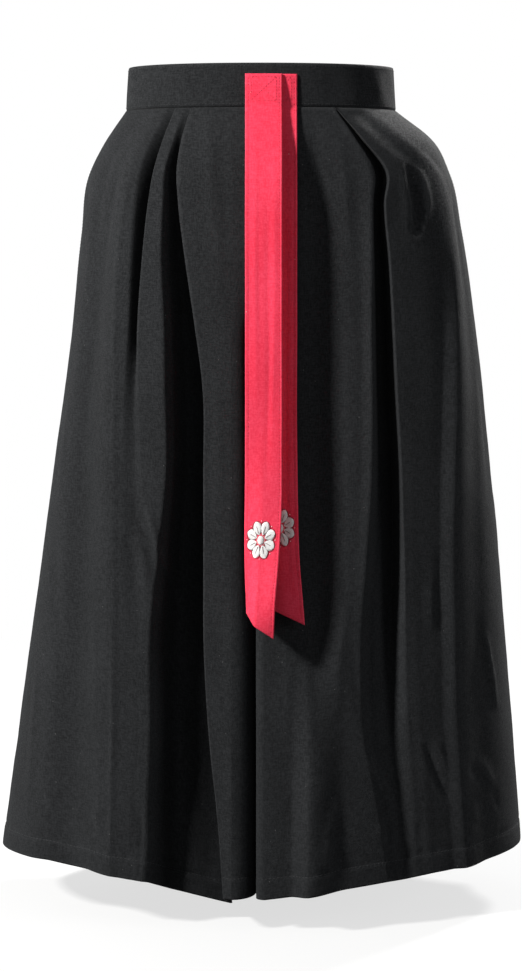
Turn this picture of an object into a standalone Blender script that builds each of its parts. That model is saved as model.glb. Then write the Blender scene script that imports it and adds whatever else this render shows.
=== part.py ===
"""Wide-leg pull-on trousers in their worn form, with two ties that hang from the front of the waistband.

Metres, +Z up. The front faces -Y and the wearer's left is +X. The origin is the middle of the waist,
halfway up the waistband. Each piece that a maker would cut is one object.

A panel is worked out in its own quarter: across runs outward from the middle plane to the side seam, and
forward runs from the side seams' plane to the front, or to the back for a back panel.
"""

import math
from collections import namedtuple

import bmesh
import bpy
import numpy as np

# Driving sizes
SEAM_GAP = 0.0003
HALF_GAP = SEAM_GAP / 2
CLOTH = 0.0016
BAND_WALL = 0.0030
BAND_HEIGHT = 0.050
PANEL_TOP = -BAND_HEIGHT / 2 - SEAM_GAP
HEM_LEVEL = -0.930
RISE_TOP = -0.150
CROTCH = -0.335

RIGHT, LEFT = -1, 1
FRONT, BACK = -1, 1

# The trousers' outer form without its folds: half widths, depths and the exponent of its rounding
Section = namedtuple("Section", "level right left front back round")
SECTIONS = (
    Section(-0.025, 0.160, 0.160, 0.118, 0.116, 2.15),
    Section(-0.060, 0.183, 0.203, 0.132, 0.134, 2.20),
    Section(-0.100, 0.203, 0.224, 0.142, 0.148, 2.25),
    Section(-0.170, 0.213, 0.239, 0.150, 0.158, 2.35),
    Section(-0.300, 0.226, 0.257, 0.159, 0.165, 2.45),
    Section(-0.450, 0.247, 0.274, 0.168, 0.171, 2.40),
    Section(-0.600, 0.268, 0.289, 0.176, 0.177, 2.28),
    Section(-0.750, 0.289, 0.302, 0.185, 0.183, 2.15),
    Section(-0.930, 0.315, 0.317, 0.195, 0.191, 2.00),
)

# How much higher the hem is at the side seam than in the middle, and its hump halfway there
HEM_LIFT = {RIGHT: 0.022, LEFT: 0.027}
HEM_HUMP = {RIGHT: 0.010, LEFT: 0.001}

# How far the cloth of a valley hangs lower than its surroundings at the hem, as a share of its depth
VALLEY_SAG = 0.36

# The inner corners that the legs meet at: how far each stops short of the middle plane, or passes it, and
# the width and depth of its turn. One leg's corner laps over the other's.
Corner = namedtuple("Corner", "short turn depth")
CORNERS = {
    (RIGHT, FRONT): Corner(0.0065, 0.028, 0.036),
    (LEFT, FRONT): Corner(-0.0050, 0.010, 0.010),
    (RIGHT, BACK): Corner(-0.0040, 0.014, 0.012),
    (LEFT, BACK): Corner(0.0055, 0.022, 0.014),
}
CORNER_STARTS, CORNER_GROOVE = 0.07, 0.30

# Half the distance of the two legs' inseams at the hem
INSEAM_PART = 0.014

# Front creases from the middle outward. Reach is the distance from the middle plane and stand the height
# above the plain form, both in millimetres at each crease level. Steps are the columns up to that crease.
CREASE_LEVELS = (-0.025, -0.060, -0.100, -0.200, -0.350, -0.550, -0.750, -0.930)
Crease = namedtuple("Crease", "name steps reach stand")
FRONT_CREASES = {
    RIGHT: (
        Crease("inner pleat edge", 3, (76, 83, 90, 80, 62, 58, 53, 41), (1, 2, 3, 3, 3, 3, 3, 3)),
        Crease(
            "inner pleat valley",
            1,
            (80, 89, 98, 90, 71, 68, 64, 53),
            (-1, -7, -14, -22, -28, -31, -31, -27),
        ),
        Crease("inner pleat ridge", 3, (92, 104, 118, 123, 125, 128, 137, 141), (1, 4, 6, 8, 8, 6, 5, 4)),
        Crease(
            "outer pleat valley", 2, (97, 113, 132, 139, 144, 147, 151, 153), (-1, -6, -9, -7, 0, 3, 4, 4)
        ),
        Crease(
            "outer pleat ridge", 2, (108, 129, 147, 157, 167, 168, 164, 166), (1, 4, 7, 10, 11, 11, 10, 9)
        ),
        Crease("side trough", 2, (132, 160, 178, 188, 200, 211, 219, 228), (0, 0, -1, -2, -3, -5, -6, -7)),
        Crease("side ridge", 2, (145, 174, 193, 203, 218, 236, 252, 268), (0, 1, 1, 1, 2, 3, 4, 5)),
    ),
    LEFT: (
        Crease("inner pleat ridge", 3, (74, 94, 113, 115, 115, 113, 104, 106), (1, 3, 6, 7, 8, 8, 8, 6)),
        Crease(
            "inner pleat valley",
            3,
            (84, 112, 140, 145, 153, 161, 167, 175),
            (-1, -7, -13, -19, -24, -26, -24, -15),
        ),
        Crease("inner pleat edge", 1, (88, 118, 149, 154, 162, 171, 177, 186), (1, 4, 6, 7, 7, 7, 6, 5)),
        Crease(
            "outer pleat valley",
            2,
            (98, 135, 172, 178, 188, 197, 202, 208),
            (-1, -9, -14, -4, -3, -4, -5, -6),
        ),
        Crease("side ridge", 2, (118, 163, 203, 220, 223, 219, 222, 236), (1, 2, 4, 5, 6, 7, 7, 7)),
        Crease("side trough", 2, (132, 176, 213, 232, 242, 246, 252, 266), (0, 0, 0, -1, -2, -3, -4, -4)),
    ),
}
SIDE_STEPS = 3
SEAM_FLAT = 0.003
INNER_STEPS = (3, 4, 1)
INNER_POINTS = 61
WALL_SHARE, WALL_RUN = 0.9, 0.4
GROOVE_FORMS = 0.06
INNER_REACH = 0.034

# Back folds, which grow out of the gathers of the elastic: share is the way from the middle to the side seam
GATHERS = 9
GATHER_STAND = (0.9, 2.6, 2.2, 0.8, 0, 0, 0, 0)
BackFold = namedtuple("BackFold", "share stand")
BACK_FOLDS = {
    RIGHT: (
        BackFold(3 / 18, (0, -2, -5, -10, -14, -16, -17, -17)),
        BackFold(6 / 18, (0, 1, 2, 4, 6, 7, 8, 8)),
        BackFold(9 / 18, (0, -2, -6, -13, -20, -24, -26, -25)),
        BackFold(12 / 18, (0, 1, 3, 6, 9, 10, 10, 9)),
        BackFold(15 / 18, (0, 0, -1, -2, -5, -8, -10, -11)),
    ),
    LEFT: (
        BackFold(4 / 18, (0, -2, -5, -11, -17, -21, -23, -22)),
        BackFold(7 / 18, (0, 1, 2, 5, 8, 9, 9, 8)),
        BackFold(11 / 18, (0, -2, -5, -10, -15, -19, -21, -22)),
        BackFold(14 / 18, (0, 1, 2, 4, 6, 7, 8, 8)),
        BackFold(16 / 18, (0, 0, 0, -1, -2, -4, -5, -6)),
    ),
}

# The levels that a panel's rows lie on; those of the rise follow the seam's curve
ABOVE_RISE = (PANEL_TOP, -0.044, -0.064, -0.090, -0.120, RISE_TOP)
RISE_SHARES = (0.35, 0.60, 0.80, 0.93, 1.0)
BELOW_CROTCH = (-0.360, -0.400, -0.450, -0.510, -0.575, -0.640, -0.710, -0.780, -0.850, -0.900, HEM_LEVEL)

# Side pockets: the mouth is a slit in the side seam, and a flat bag hangs behind it
MOUTH_TOP, MOUTH_BOTTOM, MOUTH_SLIT = -0.092, -0.250, 0.0024
BAG_WALL = 0.0024
BAG_START, BAG_REACH = 0.004, 0.115
BAG_TOP, BAG_SIDE_END, BAG_BOTTOM = -0.080, -0.265, -0.345
BAG_BELLY, BAG_GAP = 0.75, 0.0008
BAG_INSET, BAG_INSET_RUN = 0.033, 0.055
BAG_COLUMNS = 8

# The waistband: a plain front half and an elastic back half with the gathers of the panels below it
BAND_TAPER = 0.003
BAND_PUCKER = 0.0013
FRONT_BAND_COLUMNS, BACK_BAND_COLUMNS, BAND_ROWS = 24, 4 * GATHERS, 4

# Ties: x of the middle, how far out they hang, and how far each half folds back, at each level of the tie
TIE_WIDTH, TIE_WALL = 0.042, 0.0018
TIE_TOP, TIE_COLUMNS, TIE_ROWS = 0.012, 6, 20
TIE_FLATTENS = 0.09
TIE_LEVELS = (0.012, -0.030, -0.100, -0.250, -0.400, -0.475, -0.540, -0.590, -0.627)
Tie = namedtuple("Tie", "name middle clear fold_right fold_left end_right end_left")
TIES = (
    Tie(
        "tie_under",
        (20, 20, 20, 20, 20, 21, 23, 27, 30),
        (0.3, 1.0, 3.0, 4.5, 5.0, 5.0, 5.5, 6.0, 6.0),
        (0, 0, 0, 0, 2, 4, 6, 8, 8),
        (0, 0, 0, 0, 2, 3, 4, 4, 4),
        -0.592,
        -0.613,
    ),
    Tie(
        "tie_over",
        (3, 3, 3, 3, 3, 2.5, 1, 0, 0),
        (2.4, 9.0, 19.0, 24.0, 26.0, 28.0, 30.0, 31.0, 31.0),
        (0, 0, 0, 0, 3, 14, 33, 44, 48),
        (0, 0, 0, 0, 3, 14, 33, 48, 76),
        -0.598,
        -0.625,
    ),
)

# Colours as base colour, roughness
BLACK_CLOTH = ("black_cloth", (0.022, 0.024, 0.026, 1.0), 0.85)
POCKET_CLOTH = ("pocket_lining", (0.030, 0.031, 0.034, 1.0), 0.85)
RED_CLOTH = ("red_cloth", (0.72, 0.025, 0.065, 1.0), 0.75)


def value_at(level, levels, values):
    """The value at a level on a smooth curve through a table's values, whose levels run downward."""
    down = -np.asarray(levels, float)
    values = np.asarray(values, float)
    slopes = np.gradient(values, down)
    at = min(max(-level, down[0]), down[-1])
    i = min(int(np.searchsorted(down, at, side="right")) - 1, len(down) - 2)
    span = down[i + 1] - down[i]
    t = (at - down[i]) / span
    return float(
        (1 + 2 * t) * (1 - t) ** 2 * values[i]
        + t * (1 - t) ** 2 * span * slopes[i]
        + t * t * (3 - 2 * t) * values[i + 1]
        + t * t * (t - 1) * span * slopes[i + 1]
    )


def ease(t):
    """0 below 0, 1 above 1, and a smooth rise between."""
    t = np.clip(t, 0, 1)
    return t * t * (3 - 2 * t)


def half_width(side, level):
    widths = [s.left if side == LEFT else s.right for s in SECTIONS]
    return value_at(level, [s.level for s in SECTIONS], widths)


def depth(face, level):
    depths = [s.front if face == FRONT else s.back for s in SECTIONS]
    return value_at(level, [s.level for s in SECTIONS], depths)


def rounding(level):
    return value_at(level, [s.level for s in SECTIONS], [s.round for s in SECTIONS])


def arch(across, wide, deep, power):
    """How far forward the plain form stands at a distance from the middle plane."""
    share = np.clip(np.abs(across) / wide, 0, 1)
    return HALF_GAP + (deep - HALF_GAP) * (1 - share**power) ** (1 / power)


def outline(side, face, level):
    """The plain form's outer line at one level, from its inner edge to the side seam.

    Above the crotch the inner edge is the centre seam, which sinks in between the legs. Below it is the
    inseam.
    """
    wide, deep, power = half_width(side, level), depth(face, level), rounding(level)
    shape = CORNERS[side, face]
    sunk = min(1, max(0, (RISE_TOP - level) / (RISE_TOP - CROTCH)))
    parted = max(0, (CROTCH - level) / (CROTCH - HEM_LEVEL))
    inner_forward = HALF_GAP + (deep - HALF_GAP) * math.sqrt(1 - sunk * sunk)
    inner_across = HALF_GAP + INSEAM_PART * ease(parted)
    groove = (deep - inner_forward) / deep
    corner_across = HALF_GAP + shape.short * float(ease((groove - CORNER_STARTS) / CORNER_GROOVE))
    turned = corner_across + shape.turn
    turned_forward = float(arch(turned, wide, deep, power))
    wall_height = max(0, turned_forward - inner_forward)
    wall_top = turned_forward - min(shape.depth, WALL_SHARE * wall_height)

    q = np.linspace(0, 1, INNER_POINTS)
    wall = np.clip(q / WALL_RUN, 0, 1)
    turn = np.clip((q - WALL_RUN) / (1 - WALL_RUN), 0, 1) * math.pi / 2
    inner_x = inner_across + (corner_across - inner_across) * wall + shape.turn * (1 - np.cos(turn))
    inner_y = inner_forward + (wall_top - inner_forward) * wall + (turned_forward - wall_top) * np.sin(turn)
    plain_x = inner_across + (turned - inner_across) * q
    grooved = float(ease(groove / GROOVE_FORMS))
    inner_x = grooved * inner_x + (1 - grooved) * plain_x
    inner_y = grooved * inner_y + (1 - grooved) * arch(plain_x, wide, deep, power)

    start = math.asin((turned / wide) ** (power / 2))
    angle = np.linspace(start, math.pi / 2, 160)[1:]
    face_across = wide * np.sin(angle) ** (2 / power)
    face_forward = HALF_GAP + (deep - HALF_GAP) * np.clip(np.cos(angle), 0, 1) ** (2 / power)

    points = np.stack(
        [
            np.concatenate([inner_x, face_across]),
            np.concatenate([inner_y, face_forward]),
        ],
        axis=1,
    )
    along = np.concatenate([[0], np.cumsum(np.linalg.norm(np.diff(points, axis=0), axis=1))])
    wall_end, turn_end = along[round(WALL_RUN * (INNER_POINTS - 1))], along[INNER_POINTS - 1]
    return points, along, (wall_end, turn_end, groove)


def inner_columns(start, wall_end, turn_end, groove):
    """Where the columns of the inner wall and its corner lie, evenly spread where there is no wall yet."""
    even = np.linspace(0, start, sum(INNER_STEPS) + 1)
    marks = (0, wall_end, turn_end, start)
    shaped = np.concatenate(
        [[0]] + [np.linspace(marks[i], marks[i + 1], n + 1)[1:] for i, n in enumerate(INNER_STEPS)]
    )
    share = float(ease(groove / CORNER_GROOVE))
    return (1 - share) * even + share * shaped


def on_outline(points, along, at):
    """Points of an outline at distances along it, and the directions that face out of the cloth there."""
    here = np.stack([np.interp(at, along, points[:, k]) for k in (0, 1)], axis=1)
    step = 0.0008
    behind, ahead = np.clip(at - step, 0, along[-1]), np.clip(at + step, 0, along[-1])
    tangent = np.stack(
        [np.interp(ahead, along, points[:, k]) - np.interp(behind, along, points[:, k]) for k in (0, 1)],
        axis=1,
    )
    tangent /= np.linalg.norm(tangent, axis=1)[:, None]
    return here, np.stack([-tangent[:, 1], tangent[:, 0]], axis=1)


def side_end(face, level, along):
    """Where the panel ends at the side seam: a front panel stands back from the pocket's mouth."""
    if face == BACK:
        return along[-1]
    middle, half = (MOUTH_TOP + MOUTH_BOTTOM) / 2, (MOUTH_TOP - MOUTH_BOTTOM) / 2
    return along[-1] - MOUTH_SLIT * float(ease((1 - abs(level - middle) / half) * 3))


def crease_marks(side, face, level, points, along, end):
    """The creases at one level: their places along the outline, their stand and the columns between."""
    reach_out, so_far = points[INNER_POINTS - 1 :, 0], along[INNER_POINTS - 1 :]
    start = float(np.interp(INNER_REACH, reach_out, so_far))
    if face == FRONT:
        creases = FRONT_CREASES[side]
        reach = [value_at(level, CREASE_LEVELS, c.reach) / 1000 for c in creases]
        places = np.interp(reach, reach_out, so_far)
        stand = [value_at(level, CREASE_LEVELS, c.stand) / 1000 for c in creases]
        steps = [c.steps for c in creases] + [SIDE_STEPS, 1]
    else:
        count = 2 * GATHERS
        shares = np.arange(1, count) / count
        folds = BACK_FOLDS[side]
        tall = [value_at(level, CREASE_LEVELS, f.stand) / 1000 for f in folds]
        long_folds = eased_between(shares, [0, *[f.share for f in folds], 1], [0, *tall, 0])
        gather = value_at(level, CREASE_LEVELS, GATHER_STAND) / 1000
        places = start + shares * (end - SEAM_FLAT - start)
        stand = long_folds + gather * np.where(np.arange(1, count) % 2, 1, -1)
        steps = [1] * (count + 1)
    return (
        np.concatenate([[start], places, [end - SEAM_FLAT, end]]),
        np.concatenate([[0], stand, [0, 0]]),
        steps,
    )


def eased_between(at, places, values):
    """Values between marks, level at each mark and smooth between two of them."""
    places, values = np.asarray(places, float), np.asarray(values, float)
    i = np.clip(np.searchsorted(places, at, side="right") - 1, 0, len(places) - 2)
    t = ease((at - places[i]) / (places[i + 1] - places[i]))
    return values[i] + (values[i + 1] - values[i]) * t


def panel_row(side, face, level):
    """One row of a panel's outer surface in its own quarter, from its inner edge to its side edge."""
    points, along, inner = outline(side, face, level)
    end = side_end(face, level, along)
    places, stand, steps = crease_marks(side, face, level, points, along, end)
    at = np.concatenate(
        [inner_columns(places[0], *inner)]
        + [np.linspace(places[i], places[i + 1], n + 1)[1:] for i, n in enumerate(steps)]
    )
    here, out = on_outline(points, along, at)
    lifted = np.where(at > places[0], eased_between(np.maximum(at, places[0]), places, stand), 0)
    row = here + out * lifted[:, None]
    row[-2, 0] = row[-1, 0]
    sideways = np.clip((at - inner[1]) / (along[-1] - inner[1]), 0, 1)
    hangs = float(ease((CROTCH - level) / (CROTCH - HEM_LEVEL)))
    return row, drop(side, level, sideways) - VALLEY_SAG * hangs * np.maximum(0, -lifted)


def drop(side, level, sideways):
    """The height of a level's points, which rises from the middle to the side seam."""
    lift = HEM_LIFT[side] * np.sin(sideways * math.pi / 2) + HEM_HUMP[side] * np.sin(sideways * math.pi)
    hem = HEM_LEVEL + lift
    return PANEL_TOP + (hem - PANEL_TOP) * (level - PANEL_TOP) / (HEM_LEVEL - PANEL_TOP)


def row_levels():
    rise = [RISE_TOP - share * (RISE_TOP - CROTCH) for share in RISE_SHARES]
    return [*ABOVE_RISE, *rise, *BELOW_CROTCH]


def cloth_object(name, rows, flip, wall, outward, look):
    """A sheet through rows of points, made into a wall that lies inside or outside that sheet."""
    mesh = bpy.data.meshes.new(name)
    grid = bmesh.new()
    placed = [[grid.verts.new(p) for p in row] for row in rows]
    for upper, lower in zip(placed, placed[1:]):
        for j in range(len(upper) - 1):
            corners = (upper[j], upper[j + 1], lower[j + 1], lower[j])
            grid.faces.new(corners[::-1] if flip else corners)
    grid.to_mesh(mesh)
    grid.free()
    mesh.shade_smooth()
    mesh.materials.append(material(*look))
    made = bpy.data.objects.new(name, mesh)
    trousers_collection().objects.link(made)
    solid = made.modifiers.new("wall", "SOLIDIFY")
    solid.thickness = wall
    solid.offset = 1 if outward else -1
    solid.use_even_offset = True
    solid.use_quality_normals = True
    return made


def trousers_collection():
    found = bpy.data.collections.get("trousers")
    if found is None:
        found = bpy.data.collections.new("trousers")
        bpy.context.scene.collection.children.link(found)
    return found


def material(name, colour, roughness):
    found = bpy.data.materials.get(name)
    if found is None:
        found = bpy.data.materials.new(name)
        found.use_nodes = True
        shader = found.node_tree.nodes["Principled BSDF"]
        shader.inputs["Base Color"].default_value = colour
        shader.inputs["Roughness"].default_value = roughness
        shader.inputs["Metallic"].default_value = 0.0
    return found


def make_panel(side, face):
    rows = []
    for level in row_levels():
        row, heights = panel_row(side, face, level)
        rows.append([(side * x, face * y, z) for (x, y), z in zip(row, heights)])
    name = f"{'front' if face == FRONT else 'back'}_{'left' if side == LEFT else 'right'}"
    return cloth_object(name, rows, side * face < 0, CLOTH, False, BLACK_CLOTH)


def make_pocket_bag(side):
    """A flat two-layer bag that hangs inside the front panel from the mouth in the side seam."""
    levels = [level for level in row_levels() if BAG_SIDE_END <= level <= BAG_TOP]
    rows = []
    for side_level in levels:
        row = []
        for j in range(BAG_COLUMNS + 1):
            share = j / BAG_COLUMNS
            belly = math.sin(math.pi * BAG_BELLY * share)
            stretch = 1 + belly * (BAG_BOTTOM - BAG_SIDE_END) / (BAG_SIDE_END - levels[0])
            level = levels[0] + (side_level - levels[0]) * stretch
            points, along, inner = outline(side, FRONT, level)
            at = np.array([along[-1] - BAG_START - BAG_REACH * share])
            here, out = on_outline(points, along, at)
            inset = CLOTH + BAG_GAP + BAG_INSET * float(ease(BAG_REACH * share / BAG_INSET_RUN))
            x, y = (here - out * inset)[0]
            sideways = (at[0] - inner[1]) / (along[-1] - inner[1])
            row.append((side * x, FRONT * y, float(drop(side, level, sideways))))
        rows.append(row)
    name = f"pocket_bag_{'left' if side == LEFT else 'right'}"
    return cloth_object(name, rows, side * FRONT > 0, BAG_WALL, False, POCKET_CLOTH)


def make_band(face):
    """Half of the waistband, from one side seam to the other."""
    columns = FRONT_BAND_COLUMNS if face == FRONT else BACK_BAND_COLUMNS
    wide, deep = half_width(LEFT, -BAND_HEIGHT / 2), depth(face, -BAND_HEIGHT / 2)
    power = rounding(-BAND_HEIGHT / 2)
    seam_angle = (SEAM_FLAT / deep) ** (power / 2)
    end = math.pi / 2
    angles = [-end, *np.linspace(seam_angle - end, end - seam_angle, columns + 1), end]
    rows = []
    for i in range(BAND_ROWS + 1):
        up = 1 - i / BAND_ROWS
        taper = BAND_TAPER * up
        row = []
        for j, angle in enumerate(angles):
            swell = 0.0
            if face == BACK and 1 < j < columns + 1:
                swell = BAND_PUCKER * (-1) ** j * (0.6 + 0.4 * math.sin(math.pi * up))
            sine, cosine = math.sin(angle), max(0.0, math.cos(angle))
            x = math.copysign(abs(sine) ** (2 / power), sine) * (wide - taper + swell)
            y = HALF_GAP + (deep - taper + swell - HALF_GAP) * cosine ** (2 / power)
            row.append((x, face * y, BAND_HEIGHT * (up - 0.5)))
        rows.append(row)
    name = f"waistband_{'front' if face == FRONT else 'back'}"
    return cloth_object(name, rows, face == FRONT, BAND_WALL, False, BLACK_CLOTH)


def tie_point(tie, share, down):
    """A point of the tie's back: share runs from -0.5 at its right edge, as worn, to 0.5 at its left."""
    end = tie.end_right + (tie.end_left - tie.end_right) * (share + 0.5)
    level = TIE_TOP + (end - TIE_TOP) * down
    fold = math.radians(value_at(level, TIE_LEVELS, tie.fold_left if share > 0 else tie.fold_right))
    x = value_at(level, TIE_LEVELS, tie.middle) / 1000 + share * TIE_WIDTH * math.cos(fold)
    body = min(level, -BAND_HEIGHT / 2)
    taper = BAND_TAPER * (level - body) / BAND_HEIGHT
    wide, deep, power = half_width(LEFT, body) - taper, depth(FRONT, body) - taper, rounding(body)
    hangs_flat = float(ease((-BAND_HEIGHT / 2 - level) / TIE_FLATTENS))
    rests = (1 - hangs_flat) * float(arch(x, wide, deep, power)) + hangs_flat * deep
    clear = value_at(level, TIE_LEVELS, tie.clear) / 1000
    back = abs(share) * TIE_WIDTH * math.sin(fold)
    return x, FRONT * (rests + clear - back), level


def make_tie(tie):
    rows = [
        [tie_point(tie, j / TIE_COLUMNS - 0.5, i / TIE_ROWS) for j in range(TIE_COLUMNS + 1)]
        for i in range(TIE_ROWS + 1)
    ]
    return cloth_object(tie.name, rows, True, TIE_WALL, True, RED_CLOTH)


def main():
    for old in list(bpy.data.objects):
        bpy.data.objects.remove(old)
    for side in (RIGHT, LEFT):
        for face in (FRONT, BACK):
            make_panel(side, face)
        make_pocket_bag(side)
    for face in (FRONT, BACK):
        make_band(face)
    for tie in TIES:
        make_tie(tie)


main()
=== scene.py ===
"""Looks of the wide-leg trousers: worn cloth panels with painted highlights on their fold crests, gathered
waistband, pockets and two embroidered ties.

Metres, +Z up. The front faces -Y and the left leg, as worn, is at +X. The origin is the middle of the waist.
Each panel is worked out in its own quarter: across runs outward from the middle plane to the side seam, and
forward runs from the side seams' plane to the front, or to the back for a back panel.
"""

import logging
import math
from dataclasses import dataclass, field
from enum import Enum

import bpy
import numpy as np
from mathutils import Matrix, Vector, noise


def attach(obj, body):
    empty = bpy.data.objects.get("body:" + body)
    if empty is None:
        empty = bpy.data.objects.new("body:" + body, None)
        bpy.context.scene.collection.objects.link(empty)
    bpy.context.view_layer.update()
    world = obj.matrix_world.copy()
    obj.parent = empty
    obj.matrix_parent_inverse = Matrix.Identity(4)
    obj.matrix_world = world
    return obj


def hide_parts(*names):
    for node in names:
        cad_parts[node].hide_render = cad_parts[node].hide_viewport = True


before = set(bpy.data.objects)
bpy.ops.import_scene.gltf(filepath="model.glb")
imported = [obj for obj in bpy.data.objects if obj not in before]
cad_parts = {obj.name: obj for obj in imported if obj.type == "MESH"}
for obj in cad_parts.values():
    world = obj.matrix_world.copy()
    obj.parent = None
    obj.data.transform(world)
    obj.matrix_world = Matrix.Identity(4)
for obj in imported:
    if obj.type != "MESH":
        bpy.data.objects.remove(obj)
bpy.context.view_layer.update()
LOG = logging.getLogger("trousers")

Tree = bpy.types.NodeTree
Node = bpy.types.Node
Socket = bpy.types.NodeSocket
Piece = bpy.types.Object
Material = bpy.types.Material
Triple = tuple[float, float, float]
Shade = tuple[float, float, float, float]
Row = tuple[float, ...]

MM = 0.001
SEAM_GAP = 0.0003
HALF_GAP = SEAM_GAP / 2
BAND_HEIGHT = 0.050
PANEL_TOP = -BAND_HEIGHT / 2 - SEAM_GAP
HEM_LEVEL = -0.930
RISE_TOP = -0.150
CROTCH = -0.335
SEAM_FLAT = 0.003
TINY = 1e-12

# Sharp folds soften from this level down, and have softened this much lower
CREASES_SOFTEN = -0.450
SOFTENING_RUN = 0.250


class Side(Enum):
    """Which leg, as worn: its value is the sign of x."""

    RIGHT = -1
    LEFT = 1


class Face(Enum):
    """Front or back half: its value is the sign of y."""

    FRONT = -1
    BACK = 1


def ease(t: np.ndarray | float) -> np.ndarray:
    """Return 0 below 0, 1 above 1 and a smooth rise between."""
    t = np.clip(t, 0, 1)
    return t * t * (3 - 2 * t)


def value_at(level: float, levels: Row, values: Row) -> float:
    """Read a table along a smooth curve.

    Args:
        level: the height to read at.
        levels: the heights of the table's values, from the top down.
        values: one value for each of those heights.

    Returns:
        The value at that height.
    """
    down = -np.asarray(levels, float)
    known = np.asarray(values, float)
    slopes = np.gradient(known, down)
    at = min(max(-level, down[0]), down[-1])
    i = min(int(np.searchsorted(down, at, side="right")) - 1, len(down) - 2)
    span = down[i + 1] - down[i]
    t = (at - down[i]) / span
    return float(
        (1 + 2 * t) * (1 - t) ** 2 * known[i]
        + t * (1 - t) ** 2 * span * slopes[i]
        + t * t * (3 - 2 * t) * known[i + 1]
        + t * t * (t - 1) * span * slopes[i + 1]
    )


def distances(points: np.ndarray) -> np.ndarray:
    """Return how far along a line of points each of them lies."""
    return np.concatenate([[0], np.cumsum(np.linalg.norm(np.diff(points, axis=0), axis=1))])


@dataclass(frozen=True)
class Corner:
    """The inner corner of a leg: how far it stops short of the middle plane, and its turn's size."""

    short: float
    turn: float
    depth: float


@dataclass(frozen=True)
class Outline:
    """The plain form's line at one level, from its inner edge to the side seam."""

    points: np.ndarray
    along: np.ndarray
    wall_end: float
    turn_end: float
    groove: float

    def at(self, along: np.ndarray) -> np.ndarray:
        """Return the line's points at distances along it."""
        return np.stack([np.interp(along, self.along, self.points[:, k]) for k in (0, 1)], axis=-1)


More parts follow.
